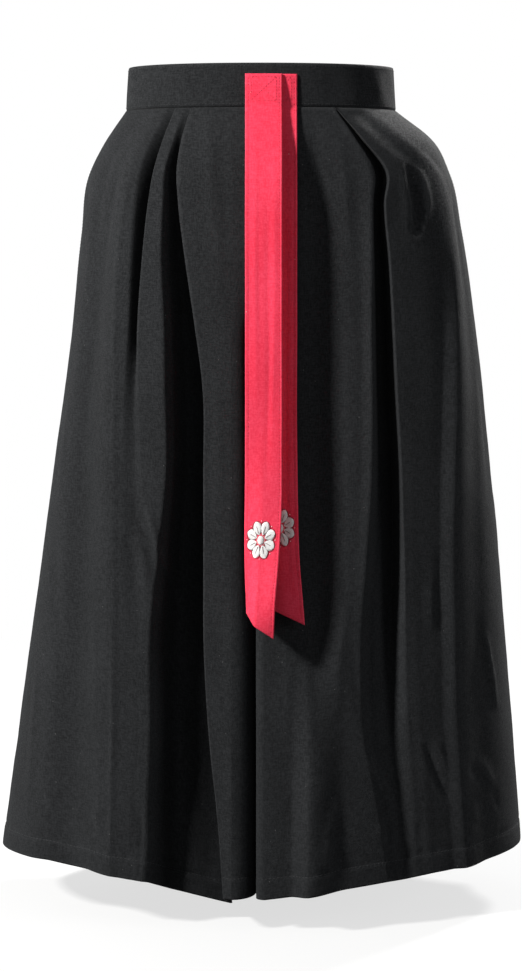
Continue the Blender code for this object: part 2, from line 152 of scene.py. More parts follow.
@dataclass
class Form:
    """The trousers' outer form without its folds, by level."""

    levels: Row = (-0.025, -0.060, -0.100, -0.170, -0.300, -0.450, -0.600, -0.750, -0.930)
    right: Row = (0.160, 0.183, 0.203, 0.213, 0.226, 0.247, 0.268, 0.289, 0.315)
    left: Row = (0.160, 0.203, 0.224, 0.239, 0.257, 0.274, 0.289, 0.302, 0.317)
    front: Row = (0.118, 0.132, 0.142, 0.150, 0.159, 0.168, 0.176, 0.185, 0.195)
    back: Row = (0.116, 0.134, 0.148, 0.158, 0.165, 0.171, 0.177, 0.183, 0.191)
    round: Row = (2.15, 2.20, 2.25, 2.35, 2.45, 2.40, 2.28, 2.15, 2.00)
    hem_lift: dict[Side, float] = field(default_factory=lambda: {Side.RIGHT: 0.022, Side.LEFT: 0.027})
    hem_hump: dict[Side, float] = field(default_factory=lambda: {Side.RIGHT: 0.010, Side.LEFT: 0.001})
    valley_sag: float = 0.36
    inseam_part: float = 0.014
    corner_starts: float = 0.07
    corner_groove: float = 0.30
    groove_forms: float = 0.06
    inner_points: int = 121
    face_points: int = 400
    wall_run: float = 0.4
    wall_share: float = 0.9
    corners: dict[tuple[Side, Face], Corner] = field(
        default_factory=lambda: {
            (Side.RIGHT, Face.FRONT): Corner(0.0053, 0.028, 0.036),
            (Side.LEFT, Face.FRONT): Corner(-0.0058, 0.010, 0.010),
            (Side.RIGHT, Face.BACK): Corner(-0.0046, 0.014, 0.012),
            (Side.LEFT, Face.BACK): Corner(0.0044, 0.022, 0.014),
        }
    )

    def half_width(self, side: Side, level: float) -> float:
        """Return the plain form's half width on one side."""
        return value_at(level, self.levels, self.left if side == Side.LEFT else self.right)

    def depth(self, face: Face, level: float) -> float:
        """Return how far the plain form stands forward or back."""
        return value_at(level, self.levels, self.front if face == Face.FRONT else self.back)

    def rounding(self, level: float) -> float:
        """Return the exponent of the plain form's rounding."""
        return value_at(level, self.levels, self.round)

    @staticmethod
    def arch(across: np.ndarray | float, wide: float, deep: float, power: float) -> np.ndarray:
        """Return how far forward the plain form stands at a distance from the middle plane."""
        share = np.clip(np.abs(across) / wide, 0, 1)
        return HALF_GAP + (deep - HALF_GAP) * (1 - share**power) ** (1 / power)

    def outline(self, side: Side, face: Face, level: float) -> Outline:
        """Work out the plain line of one quarter at one level.

        Args:
            side: the leg.
            face: its front or back.
            level: the height.

        Returns:
            The line's points, the distances along it, and the marks of its inner corner.
        """
        wide, deep, power = self.half_width(side, level), self.depth(face, level), self.rounding(level)
        shape = self.corners[side, face]
        sunk = min(1, max(0, (RISE_TOP - level) / (RISE_TOP - CROTCH)))
        parted = max(0, (CROTCH - level) / (CROTCH - HEM_LEVEL))
        inner_forward = HALF_GAP + (deep - HALF_GAP) * math.sqrt(1 - sunk * sunk)
        inner_across = HALF_GAP + self.inseam_part * float(ease(parted))
        groove = (deep - inner_forward) / deep
        stopped_short = float(ease((groove - self.corner_starts) / self.corner_groove))
        corner_across = HALF_GAP + shape.short * stopped_short
        turned = corner_across + shape.turn
        turned_forward = float(self.arch(turned, wide, deep, power))
        wall_height = max(0, turned_forward - inner_forward)
        wall_top = turned_forward - min(shape.depth, self.wall_share * wall_height)

        q = np.linspace(0, 1, self.inner_points)
        wall = np.clip(q / self.wall_run, 0, 1)
        turn = np.clip((q - self.wall_run) / (1 - self.wall_run), 0, 1) * math.pi / 2
        inner_x = inner_across + (corner_across - inner_across) * wall + shape.turn * (1 - np.cos(turn))
        inner_y = inner_forward + (wall_top - inner_forward) * wall
        inner_y += (turned_forward - wall_top) * np.sin(turn)
        plain_x = inner_across + (turned - inner_across) * q
        grooved = float(ease(groove / self.groove_forms))
        inner_x = grooved * inner_x + (1 - grooved) * plain_x
        inner_y = grooved * inner_y + (1 - grooved) * self.arch(plain_x, wide, deep, power)

        start = math.asin((turned / wide) ** (power / 2))
        angle = np.linspace(start, math.pi / 2, self.face_points)[1:]
        face_x = wide * np.sin(angle) ** (2 / power)
        face_y = HALF_GAP + (deep - HALF_GAP) * np.clip(np.cos(angle), 0, 1) ** (2 / power)
        points = np.stack([np.concatenate([inner_x, face_x]), np.concatenate([inner_y, face_y])], axis=1)
        along = distances(points)
        mark = round(self.wall_run * (self.inner_points - 1))
        return Outline(points, along, float(along[mark]), float(along[self.inner_points - 1]), groove)

    def drop(self, side: Side, level: float, sideways: np.ndarray) -> np.ndarray:
        """Return the heights of a level's points, which rise towards the side seam."""
        lift = self.hem_lift[side] * np.sin(sideways * math.pi / 2)
        lift = lift + self.hem_hump[side] * np.sin(sideways * math.pi)
        return PANEL_TOP + (HEM_LEVEL + lift - PANEL_TOP) * (level - PANEL_TOP) / (HEM_LEVEL - PANEL_TOP)

    def sag(self, level: float, stand: np.ndarray) -> np.ndarray:
        """Return how much lower the cloth of a valley hangs towards the hem than its surroundings."""
        hangs = float(ease((CROTCH - level) / (CROTCH - HEM_LEVEL)))
        return self.valley_sag * hangs * np.maximum(0, -stand)


@dataclass(frozen=True)
class Fold:
    """A long crease: its place and its stand above the plain form at each fold level, in millimetres.

    On a front panel the place is the distance from the middle plane. On a back panel it is a share of the
    way from the middle to the side seam, the same at each level. Sharp is 0 for a round crest and 1 for an
    edge, and softens is the share of it that is lost towards the hem. Columns is the number of mesh columns
    up to this crease.
    """

    name: str
    columns: int
    place: Row
    stand: Row
    sharp: float = 0.0
    softens: float = 0.0


@dataclass(frozen=True)
class Crease:
    """A small crease: a soft ridge, or a trough where its height is negative.

    Height and width are in millimetres. Path is a row of (place, level) pairs, with places as in Fold and
    levels in millimetres. Lean makes the far side of the crease wider or narrower than the near side.
    """

    height: float
    width: float
    path: tuple[tuple[float, float], ...]
    lean: float = 1.0


FOLD_LEVELS = (
    -0.025, -0.060, -0.100, -0.135, -0.200, -0.270, -0.350, -0.450, -0.550, -0.650, -0.750, -0.840, -0.930,
)  # fmt: skip

FRONT_FOLDS: dict[Side, tuple[Fold, ...]] = {
    Side.RIGHT: (
        Fold("inner pleat edge", 9,
             (80, 90, 96, 94.5, 87, 77, 67, 66.5, 66.5, 66, 60, 50.5, 44),
             (1, 1, 1, 0, -1, -3, -4, -4, -4, -4, -4, -4, -4), 0.9),
        Fold("inner pleat valley", 9,
             (79, 88, 93, 91, 83, 73, 63, 62.5, 62.5, 62, 56, 46.5, 40),
             (-1, -8, -17, -21, -28, -34, -40, -44, -49, -53, -56, -58, -58), 0.5),
        Fold("inner pleat slope", 7,
             (82, 92, 100, 100, 99, 95, 93, 94, 102, 108, 108, 110, 112),
             (0, -3, -9, -12, -17, -22, -27, -31, -34, -36, -37, -37, -37), 0.5, 1.0),
        Fold("middle ridge, inner side", 8,
             (88, 98, 108.5, 110.5, 112.5, 109.5, 108.5, 107.5, 119, 129, 129, 133, 137),
             (1, 4, 6, 7, 8, 8, 8, 7, 6, 5, 5, 4, 3), 0.45, 1.0),
        Fold("middle pleat edge", 8,
             (98, 110, 121, 126.5, 133, 138, 139.5, 135, 132, 137, 138, 142, 146),
             (0.5, 3, 5, 6, 7, 7, 7, 7, 6.5, 6, 6, 5, 4), 0.7, 1.0),
        Fold("middle pleat valley", 5,
             (97, 108.5, 119, 124.5, 131.5, 139, 143.5, 143, 144, 147, 148, 151, 154),
             (-2, -12, -22, -26, -24, -10, 1, 4.5, 5.5, 7, 7, 6.5, 5.5), 0.3),
        Fold("outer ridge, inner side", 6,
             (107, 124, 137.5, 141.5, 146, 148, 153, 158, 159, 158, 158, 160, 162),
             (1, 4, 7.5, 8.5, 9, 9, 9, 9, 9, 8.5, 8, 7.5, 6.5), 0.5),
        Fold("outer ridge", 4,
             (112, 131, 146.5, 151, 158, 162.5, 167.5, 170, 170, 169, 169, 171, 173),
             (1, 5, 8.5, 9.5, 10.5, 11, 11, 11, 11, 10.5, 10, 9.5, 9), 0.25),
        Fold("side trough", 12,
             (132, 160, 178, 183, 188, 193, 200, 206, 211, 215, 219, 224, 228),
             (0, 0, -1, -1.5, -2, -2.5, -3, -4, -5, -5.5, -6, -6.5, -7)),
        Fold("side ridge", 8,
             (145, 174, 193, 198, 203, 210, 218, 227, 236, 244, 252, 260, 268),
             (0, 1, 1, 1, 1, 1.5, 2, 2.5, 3, 3.5, 4, 4.5, 5)),
    ),
    Side.LEFT: (
        Fold("trough beside the ties", 8,
             (52, 58, 64, 66, 68, 70, 70, 68, 66, 60, 56, 54, 54),
             (0, -3, -7, -9, -10, -10, -10, -10, -8, -1, 11, 16, 15)),
        Fold("inner ridge", 10,
             (76, 93, 106, 109, 112, 114, 115, 113, 108, 101, 98, 98, 100),
             (0, -1, -2, -3, -4, -4, -4, -3, -1, 2, 2, 1, 1)),
        Fold("inner ridge, outer side", 4,
             (83, 106, 127.5, 127, 126.5, 125.5, 126.5, 126, 120, 112.5, 115, 132, 146),
             (0.8, 1, 2, 2, 2, 2, 2, 2, 2, 2, 2, 1, 0), 0.4),
        Fold("inner pleat slope", 7,
             (84, 109, 134, 133, 135, 137, 139, 141, 137, 131, 134, 147, 158),
             (0, -3, -9, -11, -14, -16, -18, -19, -16, -12, -9, -6, -4), 0.6, 1.0),
        Fold("inner pleat valley", 7,
             (85.5, 116, 146.5, 144.5, 150, 154.5, 158.5, 164, 163, 157, 156, 162, 171),
             (-1, -8, -16, -19, -24, -28, -31, -33, -30, -23, -17, -12, -8), 0.5, 1.0),
        Fold("inner pleat edge", 9,
             (84.5, 114, 143.5, 140.5, 146, 150.5, 154.5, 160.5, 164, 167, 172, 180, 187.5),
             (1, 3, 4, 4, 3, 2, 2, 1, 0, -2, -3, -3, -3), 1.0, 0.8),
        Fold("outer panel", 6,
             (91, 122, 155, 156, 162, 167, 171, 174, 177, 181, 186, 194, 202),
             (1, 3, 4, 3, 3, 2, 2, 2, 1, 0, 0, 0, 0)),
        Fold("outer trough", 7,
             (102, 144, 184, 189, 200, 205, 206, 204, 203, 206, 209, 216, 223),
             (0, 0, 1, 2, 3, 3, 3, 3.5, 3.5, 3, 2.5, 2, 1.5)),
        Fold("side ridge", 9,
             (118, 163, 203, 213, 220, 221, 220, 217, 216, 219, 222, 229, 237),
             (1, 1, 2, 3, 6, 10, 12.5, 13.5, 13, 12, 11, 10, 9), 0.1, 0.5),
        Fold("side trough", 6,
             (132, 176, 213, 224, 234, 240, 247, 250, 253, 256, 259, 265, 271),
             (0, 0, 0, 0, 1, 2, 3, 3.5, 3.5, 3, 2, 1, 0)),
    ),
}  # fmt: skip

# Long back folds grow out of the gathers of the elastic
BACK_LEVELS = (-0.025, -0.060, -0.100, -0.200, -0.350, -0.550, -0.750, -0.930)
BACK_FOLDS: dict[Side, tuple[Fold, ...]] = {
    Side.RIGHT: (
        Fold("first valley", 0, (3 / 18,), (0, -2, -5, -10, -14, -16, -17, -17)),
        Fold("first ridge", 0, (6 / 18,), (0, 1, 2, 4, 6, 7, 8, 8)),
        Fold("second valley", 0, (9 / 18,), (0, -2, -6, -13, -20, -24, -26, -25)),
        Fold("second ridge", 0, (12 / 18,), (0, 1, 3, 6, 9, 10, 10, 9)),
        Fold("third valley", 0, (15 / 18,), (0, 0, -1, -2, -5, -8, -10, -11)),
    ),
    Side.LEFT: (
        Fold("first valley", 0, (4 / 18,), (0, -2, -5, -11, -17, -21, -23, -22)),
        Fold("first ridge", 0, (7 / 18,), (0, 1, 2, 5, 8, 9, 9, 8)),
        Fold("second valley", 0, (11 / 18,), (0, -2, -5, -10, -15, -19, -21, -22)),
        Fold("second ridge", 0, (14 / 18,), (0, 1, 2, 4, 6, 7, 8, 8)),
        Fold("third valley", 0, (16 / 18,), (0, 0, 0, -1, -2, -4, -5, -6)),
    ),
}

# Gathers below the elastic: how strong each is, and how far down it runs out, in millimetres
GATHER_STRENGTH: dict[Side, Row] = {
    Side.RIGHT: (1.0, 1.3, 0.7, 1.5, 1.1, 0.8, 1.4, 1.0, 1.2, 0.7, 1.4, 0.9, 1.2, 1.0, 0.6, 1.3, 0.8),
    Side.LEFT: (1.2, 0.8, 1.4, 1.0, 0.6, 1.3, 1.2, 0.8, 1.0, 1.5, 0.8, 1.1, 0.7, 1.4, 1.0, 0.9, 0.7),
}
GATHER_RUN: dict[Side, Row] = {
    Side.RIGHT: (150, 240, 110, 300, 170, 130, 260, 120, 210, 100, 280, 140, 180, 230, 90, 190, 110),
    Side.LEFT: (190, 110, 270, 140, 90, 250, 180, 120, 160, 310, 110, 200, 100, 260, 150, 130, 90),
}

FRONT_CREASES: dict[Side, tuple[Crease, ...]] = {
    Side.RIGHT: (
        # The slanted sliver at knee height where the middle ridge ends
        Crease(4.0, 5.5, ((131, -486), (120, -522), (108, -566), (101, -600)), 0.6),
        Crease(-4.0, 7.0, ((141, -478), (134, -515), (121, -560), (112, -598)), 1.3),
        Crease(-2.0, 9.0, ((152, -520), (143, -560), (138, -610), (137, -660)), 1.2),
        # Drag lines below the waist
        Crease(1.3, 8.0, ((64, -35), (60, -90), (52, -170), (47, -240)), 1.4),
        Crease(-1.2, 9.0, ((50, -40), (46, -100), (41, -190)), 1.2),
        Crease(-1.4, 8.0, ((150, -70), (163, -110), (174, -160), (184, -230)), 0.7),
        Crease(1.2, 7.0, ((165, -80), (180, -130), (190, -200))),
        # The thin raised line down the outer ridge
        Crease(1.5, 3.4, ((147, -100), (156, -160), (162, -230), (165, -330), (166, -480), (167, -640)), 0.7),
        Crease(1.3, 3.6, ((167, -620), (168, -700), (169, -780), (171, -850), (173, -915)), 0.7),
        # Broad unevenness of the side, and soft lines down to the hem
        Crease(-1.9, 9.0, ((236, -540), (240, -590), (239, -650), (234, -700)), 1.5),
        Crease(1.3, 8.0, ((222, -360), (231, -430), (237, -500))),
        Crease(-1.5, 8.0, ((196, -300), (206, -380), (210, -450))),
        Crease(1.2, 7.0, ((196, -610), (193, -680), (195, -770)), 1.5),
        Crease(-1.4, 7.0, ((180, -700), (178, -770), (182, -840)), 0.8),
        Crease(1.4, 7.0, ((262, -690), (268, -770), (274, -860))),
        Crease(-1.3, 8.0, ((284, -650), (290, -740), (297, -830)), 1.4),
        Crease(1.6, 6.0, ((112, -660), (104, -730), (101, -800), (103, -850)), 1.6),
        Crease(-1.6, 7.0, ((95, -700), (86, -770), (80, -840)), 0.8),
        Crease(1.0, 8.0, ((52, -330), (49, -420), (51, -520))),
        Crease(-0.9, 9.0, ((44, -560), (46, -650), (42, -730)), 1.4),
        Crease(1.1, 6.0, ((36, -740), (34, -800), (31, -880))),
        # Puckers above the hem
        Crease(-1.8, 5.0, ((176, -846), (181, -868), (179, -892)), 0.8),
        Crease(1.5, 5.0, ((188, -838), (192, -866), (190, -890))),
        Crease(-1.6, 5.0, ((141, -840), (137, -866), (138, -902)), 1.4),
        Crease(1.3, 4.5, ((128, -868), (126, -906))),
        Crease(-1.2, 5.0, ((225, -850), (228, -878))),
        Crease(1.2, 5.0, ((252, -846), (249, -872))),
        Crease(-1.2, 4.5, ((74, -872), (71, -910))),
    ),
    Side.LEFT: (
        # The dimple below the waist where the pocket drags the cloth
        Crease(-9.0, 6.5, ((168, -92), (174, -114), (179, -138), (179, -158), (176, -176))),
        Crease(2.6, 3.5, ((161, -80), (163, -105), (166, -137), (171, -165), (175, -184)), 0.8),
        Crease(3.0, 4.5, ((183, -95), (190, -120), (192, -140), (187, -160), (178, -184)), 1.2),
        # Drag lines below the waist
        Crease(1.2, 9.0, ((40, -38), (46, -100), (54, -190)), 1.3),
        Crease(-1.3, 8.0, ((60, -36), (66, -90), (78, -180), (84, -260)), 0.8),
        Crease(1.1, 7.0, ((88, -60), (96, -120), (99, -200))),
        Crease(-1.4, 7.0, ((222, -110), (229, -170), (233, -240)), 1.3),
        # Lines on the inner ridge, and within the dark pleat
        Crease(-2.2, 9.0, ((74, -560), (66, -620), (62, -690), (66, -760)), 1.4),
        Crease(1.8, 8.0, ((96, -600), (88, -660), (86, -730)), 0.8),
        Crease(-1.5, 8.0, ((105, -640), (110, -700), (118, -760)), 0.8),
        Crease(2.4, 5.0, ((126, -775), (135, -803), (146, -832)), 0.6),
        Crease(-2.0, 6.0, ((136, -768), (146, -796), (157, -826))),
        Crease(1.4, 6.0, ((88, -820), (80, -850), (70, -890)), 1.4),
        Crease(-1.4, 7.0, ((48, -760), (40, -820), (34, -880)), 1.4),
        Crease(1.0, 8.0, ((30, -640), (28, -700), (30, -770))),
        # Slanted lines above the hem on the outer side
        Crease(-3.4, 5.5, ((190, -770), (199, -800), (209, -826), (219, -846)), 0.7),
        Crease(2.6, 6.0, ((201, -768), (211, -800), (222, -830), (232, -852)), 1.3),
        Crease(-3.0, 5.5, ((243, -806), (252, -822), (262, -840)), 0.7),
        Crease(2.2, 6.0, ((254, -800), (264, -820), (275, -842)), 1.2),
        Crease(2.6, 6.0, ((262, -650), (271, -700), (279, -750)), 0.6),
        Crease(-1.8, 8.0, ((250, -630), (259, -690), (268, -750)), 1.3),
        Crease(1.5, 6.0, ((195, -575), (193, -610), (196, -640))),
        Crease(-1.4, 7.0, ((205, -540), (203, -600), (207, -650))),
        Crease(-1.5, 9.0, ((252, -330), (262, -420), (268, -500)), 1.4),
        Crease(1.2, 8.0, ((270, -380), (279, -470), (284, -560))),
        # Puckers above the hem
        Crease(1.6, 5.0, ((77, -866), (73, -905)), 1.4),
        Crease(-1.5, 5.0, ((86, -862), (84, -904))),
        Crease(1.5, 5.0, ((140, -858), (133, -895)), 0.7),
        Crease(-1.4, 5.0, ((152, -856), (147, -893))),
        Crease(-1.5, 5.0, ((182, -866), (188, -890)), 1.3),
        Crease(1.4, 5.0, ((246, -852), (250, -878))),
        Crease(-1.3, 5.0, ((276, -846), (281, -872))),
    ),
}

# Places on a back panel are shares of the way from the middle to the side seam
BACK_CREASES: dict[Side, tuple[Crease, ...]] = {
    Side.RIGHT: (
        Crease(2.0, 7.0, ((0.10, -330), (0.18, -372), (0.27, -402)), 0.7),
        Crease(-2.2, 8.0, ((0.08, -352), (0.17, -395), (0.27, -428)), 1.3),
        Crease(-1.8, 9.0, ((0.06, -400), (0.15, -452), (0.22, -480))),
        Crease(1.6, 7.0, ((0.42, -430), (0.40, -520), (0.43, -600)), 1.4),
        Crease(-1.7, 8.0, ((0.70, -330), (0.73, -430), (0.71, -520)), 0.8),
        Crease(2.2, 6.0, ((0.60, -640), (0.56, -690), (0.50, -735)), 0.7),
        Crease(-2.2, 7.0, ((0.63, -660), (0.59, -712), (0.53, -760)), 1.3),
        Crease(1.5, 8.0, ((0.88, -420), (0.90, -540), (0.87, -640))),
        Crease(-1.5, 8.0, ((0.24, -600), (0.27, -700), (0.25, -790)), 1.4),
        Crease(1.8, 6.0, ((0.78, -740), (0.82, -800), (0.84, -860))),
        Crease(-1.8, 6.0, ((0.33, -800), (0.30, -850), (0.31, -900)), 0.8),
        Crease(1.4, 6.0, ((0.12, -790), (0.14, -850), (0.12, -905))),
        Crease(-1.4, 5.0, ((0.55, -868), (0.56, -905))),
        Crease(1.4, 5.0, ((0.66, -862), (0.65, -900))),
        Crease(-1.4, 5.0, ((0.90, -850), (0.91, -885))),
    ),
    Side.LEFT: (
        Crease(2.2, 7.0, ((0.09, -342), (0.19, -380), (0.30, -398)), 0.7),
        Crease(-2.4, 8.0, ((0.08, -366), (0.18, -406), (0.30, -426)), 1.3),
        Crease(-1.6, 9.0, ((0.07, -420), (0.14, -470), (0.24, -510))),
        Crease(1.7, 7.0, ((0.50, -390), (0.53, -480), (0.51, -570)), 1.4),
        Crease(-1.6, 8.0, ((0.69, -400), (0.66, -480), (0.70, -590)), 0.8),
        Crease(2.4, 6.0, ((0.40, -690), (0.46, -732), (0.53, -768)), 0.7),
        Crease(-2.2, 7.0, ((0.37, -712), (0.43, -758), (0.50, -792)), 1.3),
        Crease(1.4, 8.0, ((0.83, -350), (0.86, -470), (0.84, -580))),
        Crease(-1.7, 7.0, ((0.92, -600), (0.89, -690), (0.91, -780)), 1.4),
        Crease(1.6, 7.0, ((0.18, -650), (0.16, -740), (0.19, -830))),
        Crease(-1.7, 6.0, ((0.72, -780), (0.74, -840), (0.71, -895)), 0.8),
        Crease(1.4, 5.0, ((0.28, -864), (0.27, -905))),
        Crease(-1.3, 5.0, ((0.47, -866), (0.48, -902))),
        Crease(1.3, 5.0, ((0.86, -852), (0.87, -886))),
    ),
}


@dataclass
class Sheet:
    """A cloth surface as a grid of points, with each point's place on the flat cloth, in metres."""

    points: np.ndarray
    flat: np.ndarray
    outward: int = 1
    full_bulge: float = 0.0005

    def normals(self) -> np.ndarray:
        """Return the unit normals that face out of the cloth at the grid's points."""
        across = np.gradient(self.points, axis=1)
        down = np.gradient(self.points, axis=0)
        raw = np.cross(across, down) * self.outward
        return raw / np.maximum(np.linalg.norm(raw, axis=2, keepdims=True), TINY)

    @staticmethod
    def sample(grid: np.ndarray, rows: np.ndarray, columns: np.ndarray) -> np.ndarray:
        """Read a grid of values between its points.

        Args:
            grid: rows by columns by values.
            rows: row numbers, with fractions.
            columns: column numbers, with fractions.

        Returns:
            One value for each pair of numbers.
        """
        rows = np.clip(rows, 0, grid.shape[0] - 1.001)
        columns = np.clip(columns, 0, grid.shape[1] - 1.001)
        i, j = rows.astype(int), columns.astype(int)
        s, t = (rows - i)[:, None], (columns - j)[:, None]
        upper = grid[i, j] * (1 - t) + grid[i, j + 1] * t
        lower = grid[i + 1, j] * (1 - t) + grid[i + 1, j + 1] * t
        return upper * (1 - s) + lower * s

    def sharpness(self) -> np.ndarray:
        """Return how strongly the cloth bends outward at each point, from 0 to 1."""
        mean = self.points.copy()
        mean[1:-1, 1:-1] = (
            self.points[:-2, 1:-1] + self.points[2:, 1:-1] + self.points[1:-1, :-2] + self.points[1:-1, 2:]
        ) / 4
        bulge = ((self.points - mean) * self.normals()).sum(axis=2)
        return np.clip(bulge / self.full_bulge, 0, 1)


class Workshop:
    """Turns point arrays into mesh objects."""

    @staticmethod
    def mesh_object(name: str, points: np.ndarray, faces: list[list[int]]) -> Piece:
        """Make one smooth-shaded mesh object.

        Args:
            name: the piece's name.
            points: its points, one row each.
            faces: its faces, as rows of point numbers.

        Returns:
            The object, linked to the scene.
        """
        mesh = bpy.data.meshes.new(name)
        mesh.from_pydata(points.tolist(), [], faces)
        mesh.shade_smooth()
        mesh.update()
        made = bpy.data.objects.new(name, mesh)
        bpy.context.scene.collection.objects.link(made)
        return made

    @staticmethod
    def cloth(
        name: str,
        sheet: Sheet,
        wall: float,
        outside: bool,
        wear_and_highlight: np.ndarray,
        double: np.ndarray | None = None,
    ) -> Piece:
        """Make a cloth piece from a sheet: a thin closed wall with flat-cloth coordinates and a mask of wear
        and painted highlight.

        Args:
            name: the piece's name.
            sheet: its outer surface.
            wall: the cloth's thickness.
            outside: whether the wall lies outside the sheet.
            wear_and_highlight: how worn each point is, with a painted highlight on fold crests, from 0 to 1.
            double: how much of the wall each point has, where turned cloth is thicker than plain.

        Returns:
            The object.
        """
        rows, columns = sheet.points.shape[:2]
        number = np.arange(rows * columns).reshape(rows, columns)
        a, b, c, d = number[:-1, :-1], number[:-1, 1:], number[1:, 1:], number[1:, :-1]
        quads = np.stack([a, b, c, d] if sheet.outward > 0 else [a, d, c, b], axis=-1).reshape(-1, 4)
        made = Workshop.mesh_object(name, sheet.points.reshape(-1, 3), quads.tolist())
        mesh = made.data
        flat = mesh.uv_layers.new(name="cloth")
        corners = np.empty(len(mesh.loops), dtype=np.int32)
        mesh.loops.foreach_get("vertex_index", corners)
        flat.data.foreach_set("uv", sheet.flat.reshape(-1, 2)[corners].astype(np.float32).ravel())
        # The mask of wear and painted highlight, read by the cloth's material
        worn = mesh.attributes.new("wear_and_highlight", "FLOAT", "POINT")
        worn.data.foreach_set("value", wear_and_highlight.ravel().astype(np.float32))
        solid = made.modifiers.new("wall", "SOLIDIFY")
        solid.thickness = wall
        solid.offset = 1 if outside else -1
        solid.use_even_offset = False
        if double is not None:
            group = made.vertex_groups.new(name="turned")
            for index, share in enumerate(double.ravel()):
                group.add([index], float(share), "REPLACE")
            solid.vertex_group = "turned"
        Workshop.apply_modifiers(made)
        return made

    @staticmethod
    def apply_modifiers(made: Piece) -> None:
        """Write the result of an object's modifiers into its mesh."""
        graph = bpy.context.evaluated_depsgraph_get()
        result = bpy.data.meshes.new_from_object(
            made.evaluated_get(graph), preserve_all_data_layers=True, depsgraph=graph
        )
        old = made.data
        made.modifiers.clear()
        made.data = result
        bpy.data.meshes.remove(old)
        result.name = made.name

    @staticmethod
    def dress(piece: Piece, finish: Material) -> None:
        """Give a piece its one material."""
        piece.data.materials.clear()
        piece.data.materials.append(finish)


@dataclass
class Thread:
    """Stitches and embroidery threads, gathered and then made as one mesh of thin rounded tubes."""

    radius: float
    sides: int = 6
    end_size: float = 0.45
    paths: list[np.ndarray] = field(default_factory=list)
    ups: list[np.ndarray] = field(default_factory=list)

    def add(self, paths: np.ndarray, ups: np.ndarray) -> None:
        """Add threads.

        Args:
            paths: threads by points by coordinates.
            ups: the cloth's normal at each point.
        """
        self.paths.append(paths)
        self.ups.append(ups)

    def make(self, name: str, finish: "ThreadFinish") -> Piece:
        """Make the threads as one mesh.

        Args:
            name: the piece's name.
            finish: the thread's finish.

        Returns:
            The object.
        """
        points, faces, count = [], [], 0
        for paths, ups in zip(self.paths, self.ups):
            rings = self.rings(paths, ups)
            number = count + np.arange(rings.size // 3).reshape(rings.shape[:3])
            after = np.roll(number, -1, axis=2)
            quads = np.stack([number[:, :-1], after[:, :-1], after[:, 1:], number[:, 1:]], axis=-1)
            faces.extend(quads.reshape(-1, 4).tolist())
            faces.extend(number[:, 0, ::-1].tolist())
            faces.extend(number[:, -1].tolist())
            points.append(rings.reshape(-1, 3))
            count += number.size
        made = Workshop.mesh_object(name, np.concatenate(points), faces)
        Workshop.dress(made, finish.material())
        return made

    def rings(self, paths: np.ndarray, ups: np.ndarray) -> np.ndarray:
        """Return the ring points of each thread: threads by points by sides by coordinates."""
        ahead = np.gradient(paths, axis=1)
        ahead /= np.maximum(np.linalg.norm(ahead, axis=2, keepdims=True), TINY)
        aside = np.cross(ahead, ups)
        aside /= np.maximum(np.linalg.norm(aside, axis=2, keepdims=True), TINY)
        above = np.cross(aside, ahead)
        swell = np.full(paths.shape[1], 1.0)
        swell[0] = swell[-1] = self.end_size
        angle = np.arange(self.sides) * 2 * math.pi / self.sides
        ring = (
            aside[:, :, None, :] * np.cos(angle)[None, None, :, None]
            + above[:, :, None, :] * np.sin(angle)[None, None, :, None]
        )
        return paths[:, :, None, :] + ring * (self.radius * swell)[None, :, None, None]


@dataclass(frozen=True)
class Stitch:
    """One kind of stitch: its length, the gap to the next one and how high it arches, in metres."""

    length: float
    gap: float
    lift: float = 0.00022


HEM_STITCH = Stitch(0.0034, 0.0012)
MOUTH_STITCH = Stitch(0.0030, 0.0010)
BAR_STITCH = Stitch(0.0085, 0.001, 0.0003)
BAND_STITCH = Stitch(0.0030, 0.0011)
BAG_STITCH = Stitch(0.0026, 0.0009)
TIE_STITCH = Stitch(0.0027, 0.0009, 0.00016)
BOX_STITCH = Stitch(0.0027, 0.0009, 0.00018)


@dataclass
class StitchLine:
    """A row of stitches along a line on a sheet."""

    sheet: Sheet
    stitch: Stitch
    steps: int = 4
    sunk: float = 0.00006

    def sew(self, thread: Thread, rows: np.ndarray, columns: np.ndarray) -> None:
        """Sew along a line of grid places.

        Args:
            thread: what the stitches are added to.
            rows: row numbers along the line, with fractions.
            columns: column numbers along the line, with fractions.
        """
        points = self.sheet.sample(self.sheet.points, rows, columns)
        normals = self.sheet.sample(self.sheet.normals(), rows, columns)
        along = distances(points)
        stride = self.stitch.length + self.stitch.gap
        count = int((along[-1] + self.stitch.gap) / stride)
        if count < 1:
            return
        spare = (along[-1] + self.stitch.gap - count * stride) / 2
        starts = spare + np.arange(count) * stride
        share = np.linspace(0, 1, self.steps)
        at = starts[:, None] + share[None, :] * self.stitch.length
        paths = np.stack([np.interp(at, along, points[:, k]) for k in range(3)], axis=-1)
        ups = np.stack([np.interp(at, along, normals[:, k]) for k in range(3)], axis=-1)
        height = self.stitch.lift * np.sin(share * math.pi) - self.sunk
        thread.add(paths + ups * height[None, :, None], ups)


